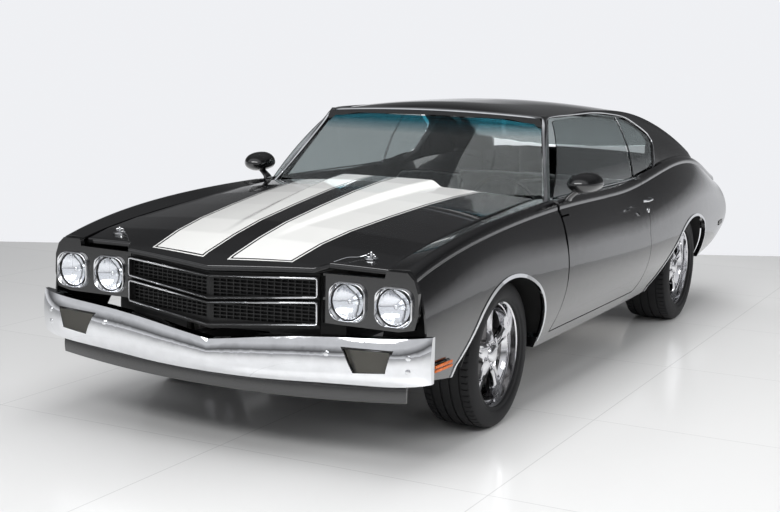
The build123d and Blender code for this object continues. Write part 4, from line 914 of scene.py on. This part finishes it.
def pad(rows, base, x, width, pleats, crown=16, round_off=46):
    """A padded block: the side view's rows over a base, crowned across, pleated and rounded at its sides."""
    line = smooth_path([(0, y, z) for y, z in rows], 6)
    flat = [np.array((p[1], p[2])) for p in line]
    middle = np.mean(flat, axis=0)
    half = width / 2
    count = 61
    rings = []
    for k in range(count):
        s = -1 + 2 * k / (count - 1)
        across = x + half * s
        near = half * (1 - abs(s))
        edge = 1 - min(near, round_off) / round_off
        lift = crown * (1 - s ** 2) - round_off * (1 - (1 - edge ** 2) ** 0.5)
        groove = 0
        if pleats and near > 70:
            share = (across - x + half) / (width / pleats) % 1
            groove = 5 * max(0, 1 - min(share, 1 - share) / 0.12)
        ring = []
        for i, p in enumerate(flat):
            before, after = flat[max(i - 1, 0)], flat[min(i + 1, len(flat) - 1)]
            along = (after - before) / np.hypot(*(after - before))
            out = np.array((-along[1], along[0]))
            if out @ (p - middle) < 0 and abs(out @ (p - middle)) > 4:
                out = -out
            soft = min(1.0, i / 5, (len(flat) - 1 - i) / 5)
            ring.append((across, *(p + out * (lift - groove) * soft)))
        ring += [(across, y, z) for y, z in base]
        rings.append(ring)
    return lofted(rings)


def make_seats():
    """Two front buckets and the rear bench, each a cushion and a back."""
    for side, name in ((1, "left"), (-1, "right")):
        shapes = [pad(FRONT_CUSHION, ((165, 330),), side * 385, 436, 5),
                  pad(FRONT_BACK, ((200, 440),), side * 385, 430, 5)]
        made = piece(f"front_seat_{name}", "root", merged(*shapes), VINYL, 60)
        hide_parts("front_seats")
    shapes = [pad(REAR_CUSHION, ((975, 485), (950, 440)), 0, 1112, 10, 12),
              pad(REAR_BACK, ((1020, 540),), 0, 1112, 10, 12)]
    made = piece("rear_bench", "root", merged(*shapes), VINYL, 60)
    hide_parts("rear_seat")


make_seats()


# Steering wheel's middle, radius and tilt, and its finger dots; the gauges' x, their y, z and direction
WHEEL_AT, WHEEL_R, WHEEL_TILT, DOTS = (372, -330, 812), 178, 25, 48
GAUGE_XS, GAUGE_Y, GAUGE_Z, GAUGE_AXIS = (290, 372, 454), -372, 800, (0, 0.97, 0.24)


def make_wheel_and_gauges():
    """The steering wheel's thin rim with finger dots, and round gauges before the driver."""
    axis = Vector((0, cos(radians(WHEEL_TILT)), sin(radians(WHEEL_TILT))))
    first = Vector((1, 0, 0))
    second = axis.cross(first)

    def on_rim(a):
        return Vector(WHEEL_AT) + first * WHEEL_R * cos(a) + second * WHEEL_R * sin(a)

    ring = [tuple(on_rim(a)) for a in np.linspace(0, 2 * pi, 97)[:-1]]
    rim = swept(ring, ring_of(9.5, 14), closed=True, up=tuple(axis))
    dots = []
    for k in range(DOTS):
        spot = on_rim(2 * pi * k / DOTS) + axis * 8.5
        dots.append(turned([(0, 0), (0, 3.2), (1.6, 2.6), (2.2, 0)], spot, axis, 8))
    piece("steering_dots", "steering_wheel", merged(*dots), ALLOY, 30)
    piece("steering_rim", "steering_wheel", rim, TRIM, 40)
    bezel = [(0, 34), (0, 39), (7, 39), (9, 36.5), (7, 34)]
    gauges, rims = [], []
    for x in GAUGE_XS:
        spot = (x, GAUGE_Y, GAUGE_Z)
        gauges.append(turned([(-2, 0), (-2, 34), (3, 34), (3, 0)], spot, GAUGE_AXIS, 40))
        rims.append(turned(bezel, spot, GAUGE_AXIS, 40, closed=True))
    piece("gauges", "root", merged(*gauges), GAUGE, 30)
    piece("gauge_rims", "root", merged(*rims), CHROME, 30)


make_wheel_and_gauges()

# Rear bumper: x, outer y, depth, z of its foot and head, bow of its face
REAR_BUMPER = ((0, 2500, 58, 446, 626, 22), (430, 2496, 58, 446, 628, 22), (640, 2486, 54, 447, 630, 22),
               (760, 2470, 44, 450, 632, 20), (820, 2448, 34, 453, 632, 16), (852, 2418, 24, 458, 630, 10),
               (866, 2376, 12, 464, 626, 4))
BUMPER_HALF, BUMPER_RINGS = 866, 72


def make_rear_bumper():
    """A bowed chrome bar whose ends wrap round the tail."""
    rings = []
    for i in range(BUMPER_RINGS + 1):
        x = -BUMPER_HALF + 2 * BUMPER_HALF * i / BUMPER_RINGS
        y, depth, foot, head, bow = values(REAR_BUMPER, abs(x))
        face = [(y + bow * (1 - s * s), (foot + head) / 2 + s * (head - foot) / 2)
                for s in np.linspace(-0.94, 0.94, 17)]
        face = [(y - 8, foot)] + face + [(y - 8, head), (y - depth, head), (y - depth, foot)]
        rings.append([(x, a, b) for a, b in face])
    made = piece("rear_bumper_bar", "root", lofted(rings), CHROME, 40)
    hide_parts("rear_bumper")


make_rear_bumper()


# Studio: a pale glossy tiled floor that ends behind the car, white surroundings and soft lamps. In metres
FLOOR_REACH, FLOOR_SIDE, TILE = 10.9, 30, 1.2
# What gloss mirrors: heights and brightness of the surroundings, from a pale foot to a dark ceiling
MIRRORED = ((0.0, 0.75), (0.11, 0.12), (0.45, 0.05), (0.8, 0.16))
# A bright bank before the car and above the camera: where it fades in, and its brightness
BANK_Y, BANK_Z, BANK_BRIGHT = (-0.12, -0.4), (0.12, 0.35), 0.6
SEEN_BRIGHT, SOFT_BRIGHT, WORLD_COLOR = 0.9, 0.5, (0.96, 0.97, 1.0, 1)
# Lamps: place, turn in degrees, size, power
LAMPS = {
    "front": ((0.5, -6.5, 4.4), (48, 0, 0), (8.0, 1.6), 190),
    "over": ((0.6, -0.5, 5.2), (0, 0, 0), (3.0, 9.0), 250),
    "side": ((6.5, 0.8, 3.6), (0, 62, 0), (2.2, 8.0), 190),
    "back": ((-3.5, 5.5, 4.2), (-50, -25, 0), (7.0, 2.0), 160),
}


def make_floor():
    """A tiled floor, level with the ground and square to the camera."""
    m = Nodes("studio_floor").set(Specular_IOR_Level=0.5)
    tiles = m.node("ShaderNodeTexBrick", {
        "Vector": m.place(), "Scale": 1.0, "Mortar Size": 0.0025, "Brick Width": TILE, "Row Height": TILE,
        "Color1": (0.78, 0.78, 0.775, 1), "Color2": (0.77, 0.77, 0.765, 1), "Mortar": (0.6, 0.6, 0.6, 1),
    }, offset=0.0)
    m.link(tiles.outputs["Color"], "Base Color")
    m.link(m.spread(m.noise(1.5, 3), 0.1, 0.17), "Roughness")
    mesh = bpy.data.meshes.new("studio_floor")
    yaw = radians(CAMERA_YAW)
    ahead, right = Vector((sin(yaw), cos(yaw), 0)), Vector((cos(yaw), -sin(yaw), 0))
    foot = Vector((CAMERA_AT[0], CAMERA_AT[1], 0))
    corners = ((-FLOOR_SIDE, -FLOOR_SIDE), (FLOOR_SIDE, -FLOOR_SIDE), (FLOOR_SIDE, FLOOR_REACH),
               (-FLOOR_SIDE, FLOOR_REACH))
    mesh.from_pydata([foot + right * a + ahead * b for a, b in corners], [], [(0, 1, 2, 3)])
    mesh.materials.append(m.material)
    floor = bpy.data.objects.new("studio_floor", mesh)
    bpy.context.collection.objects.link(floor)


def make_world():
    """White for the camera and through glass, darker for gloss, soft for everything else."""
    world = bpy.data.worlds.new("studio")
    bpy.context.scene.world = world
    world.use_nodes = True
    tree = world.node_tree

    def math(operation, a, b):
        made = tree.nodes.new("ShaderNodeMath")
        made.operation = operation
        for i, value in enumerate((a, b)):
            if isinstance(value, bpy.types.NodeSocket):
                tree.links.new(value, made.inputs[i])
            else:
                made.inputs[i].default_value = value
        return made.outputs[0]

    def fade(socket, ends):
        made = tree.nodes.new("ShaderNodeMapRange")
        tree.links.new(socket, made.inputs["Value"])
        made.inputs["From Min"].default_value, made.inputs["From Max"].default_value = ends
        return made.outputs["Result"]

    ray = tree.nodes.new("ShaderNodeLightPath").outputs
    seen = math("MAXIMUM", ray["Is Camera Ray"], ray["Is Transmission Ray"])
    glossy = ray["Is Glossy Ray"]
    split = tree.nodes.new("ShaderNodeSeparateXYZ")
    tree.links.new(tree.nodes.new("ShaderNodeTexCoord").outputs["Generated"], split.inputs[0])
    ramp = tree.nodes.new("ShaderNodeValToRGB")
    tree.links.new(split.outputs["Z"], ramp.inputs["Fac"])
    stops = ramp.color_ramp.elements
    for stop, (at, shade) in zip(stops, MIRRORED[:2]):
        stop.position, stop.color = at, (shade, shade, shade, 1)
    for at, shade in MIRRORED[2:]:
        stops.new(at).color = (shade, shade, shade, 1)
    bank = math("MULTIPLY", fade(split.outputs["Y"], BANK_Y), fade(split.outputs["Z"], BANK_Z))
    walls = math("ADD", ramp.outputs["Color"], math("MULTIPLY", bank, BANK_BRIGHT))
    mirrored = math("MULTIPLY", walls, glossy)
    soft = math("MULTIPLY", math("SUBTRACT", 1.0, glossy), SOFT_BRIGHT)
    around = math("MULTIPLY", math("ADD", mirrored, soft), math("SUBTRACT", 1.0, seen))
    back = tree.nodes["Background"]
    back.inputs["Color"].default_value = WORLD_COLOR
    tree.links.new(math("ADD", around, math("MULTIPLY", seen, SEEN_BRIGHT)), back.inputs["Strength"])


def studio():
    """Floor, world and lamps. Gloss mirrors the front lamp only."""
    make_floor()
    make_world()
    for name, (at, turn, size, power) in LAMPS.items():
        lamp = bpy.data.lights.new(name, "AREA")
        lamp.shape, lamp.size, lamp.size_y, lamp.energy = "RECTANGLE", size[0], size[1], power
        made = bpy.data.objects.new(name, lamp)
        made.location, made.rotation_euler = at, Euler([radians(a) for a in turn])
        made.visible_glossy = name == "front"
        bpy.context.collection.objects.link(made)
    bpy.context.scene.view_settings.view_transform = "Standard"


studio()
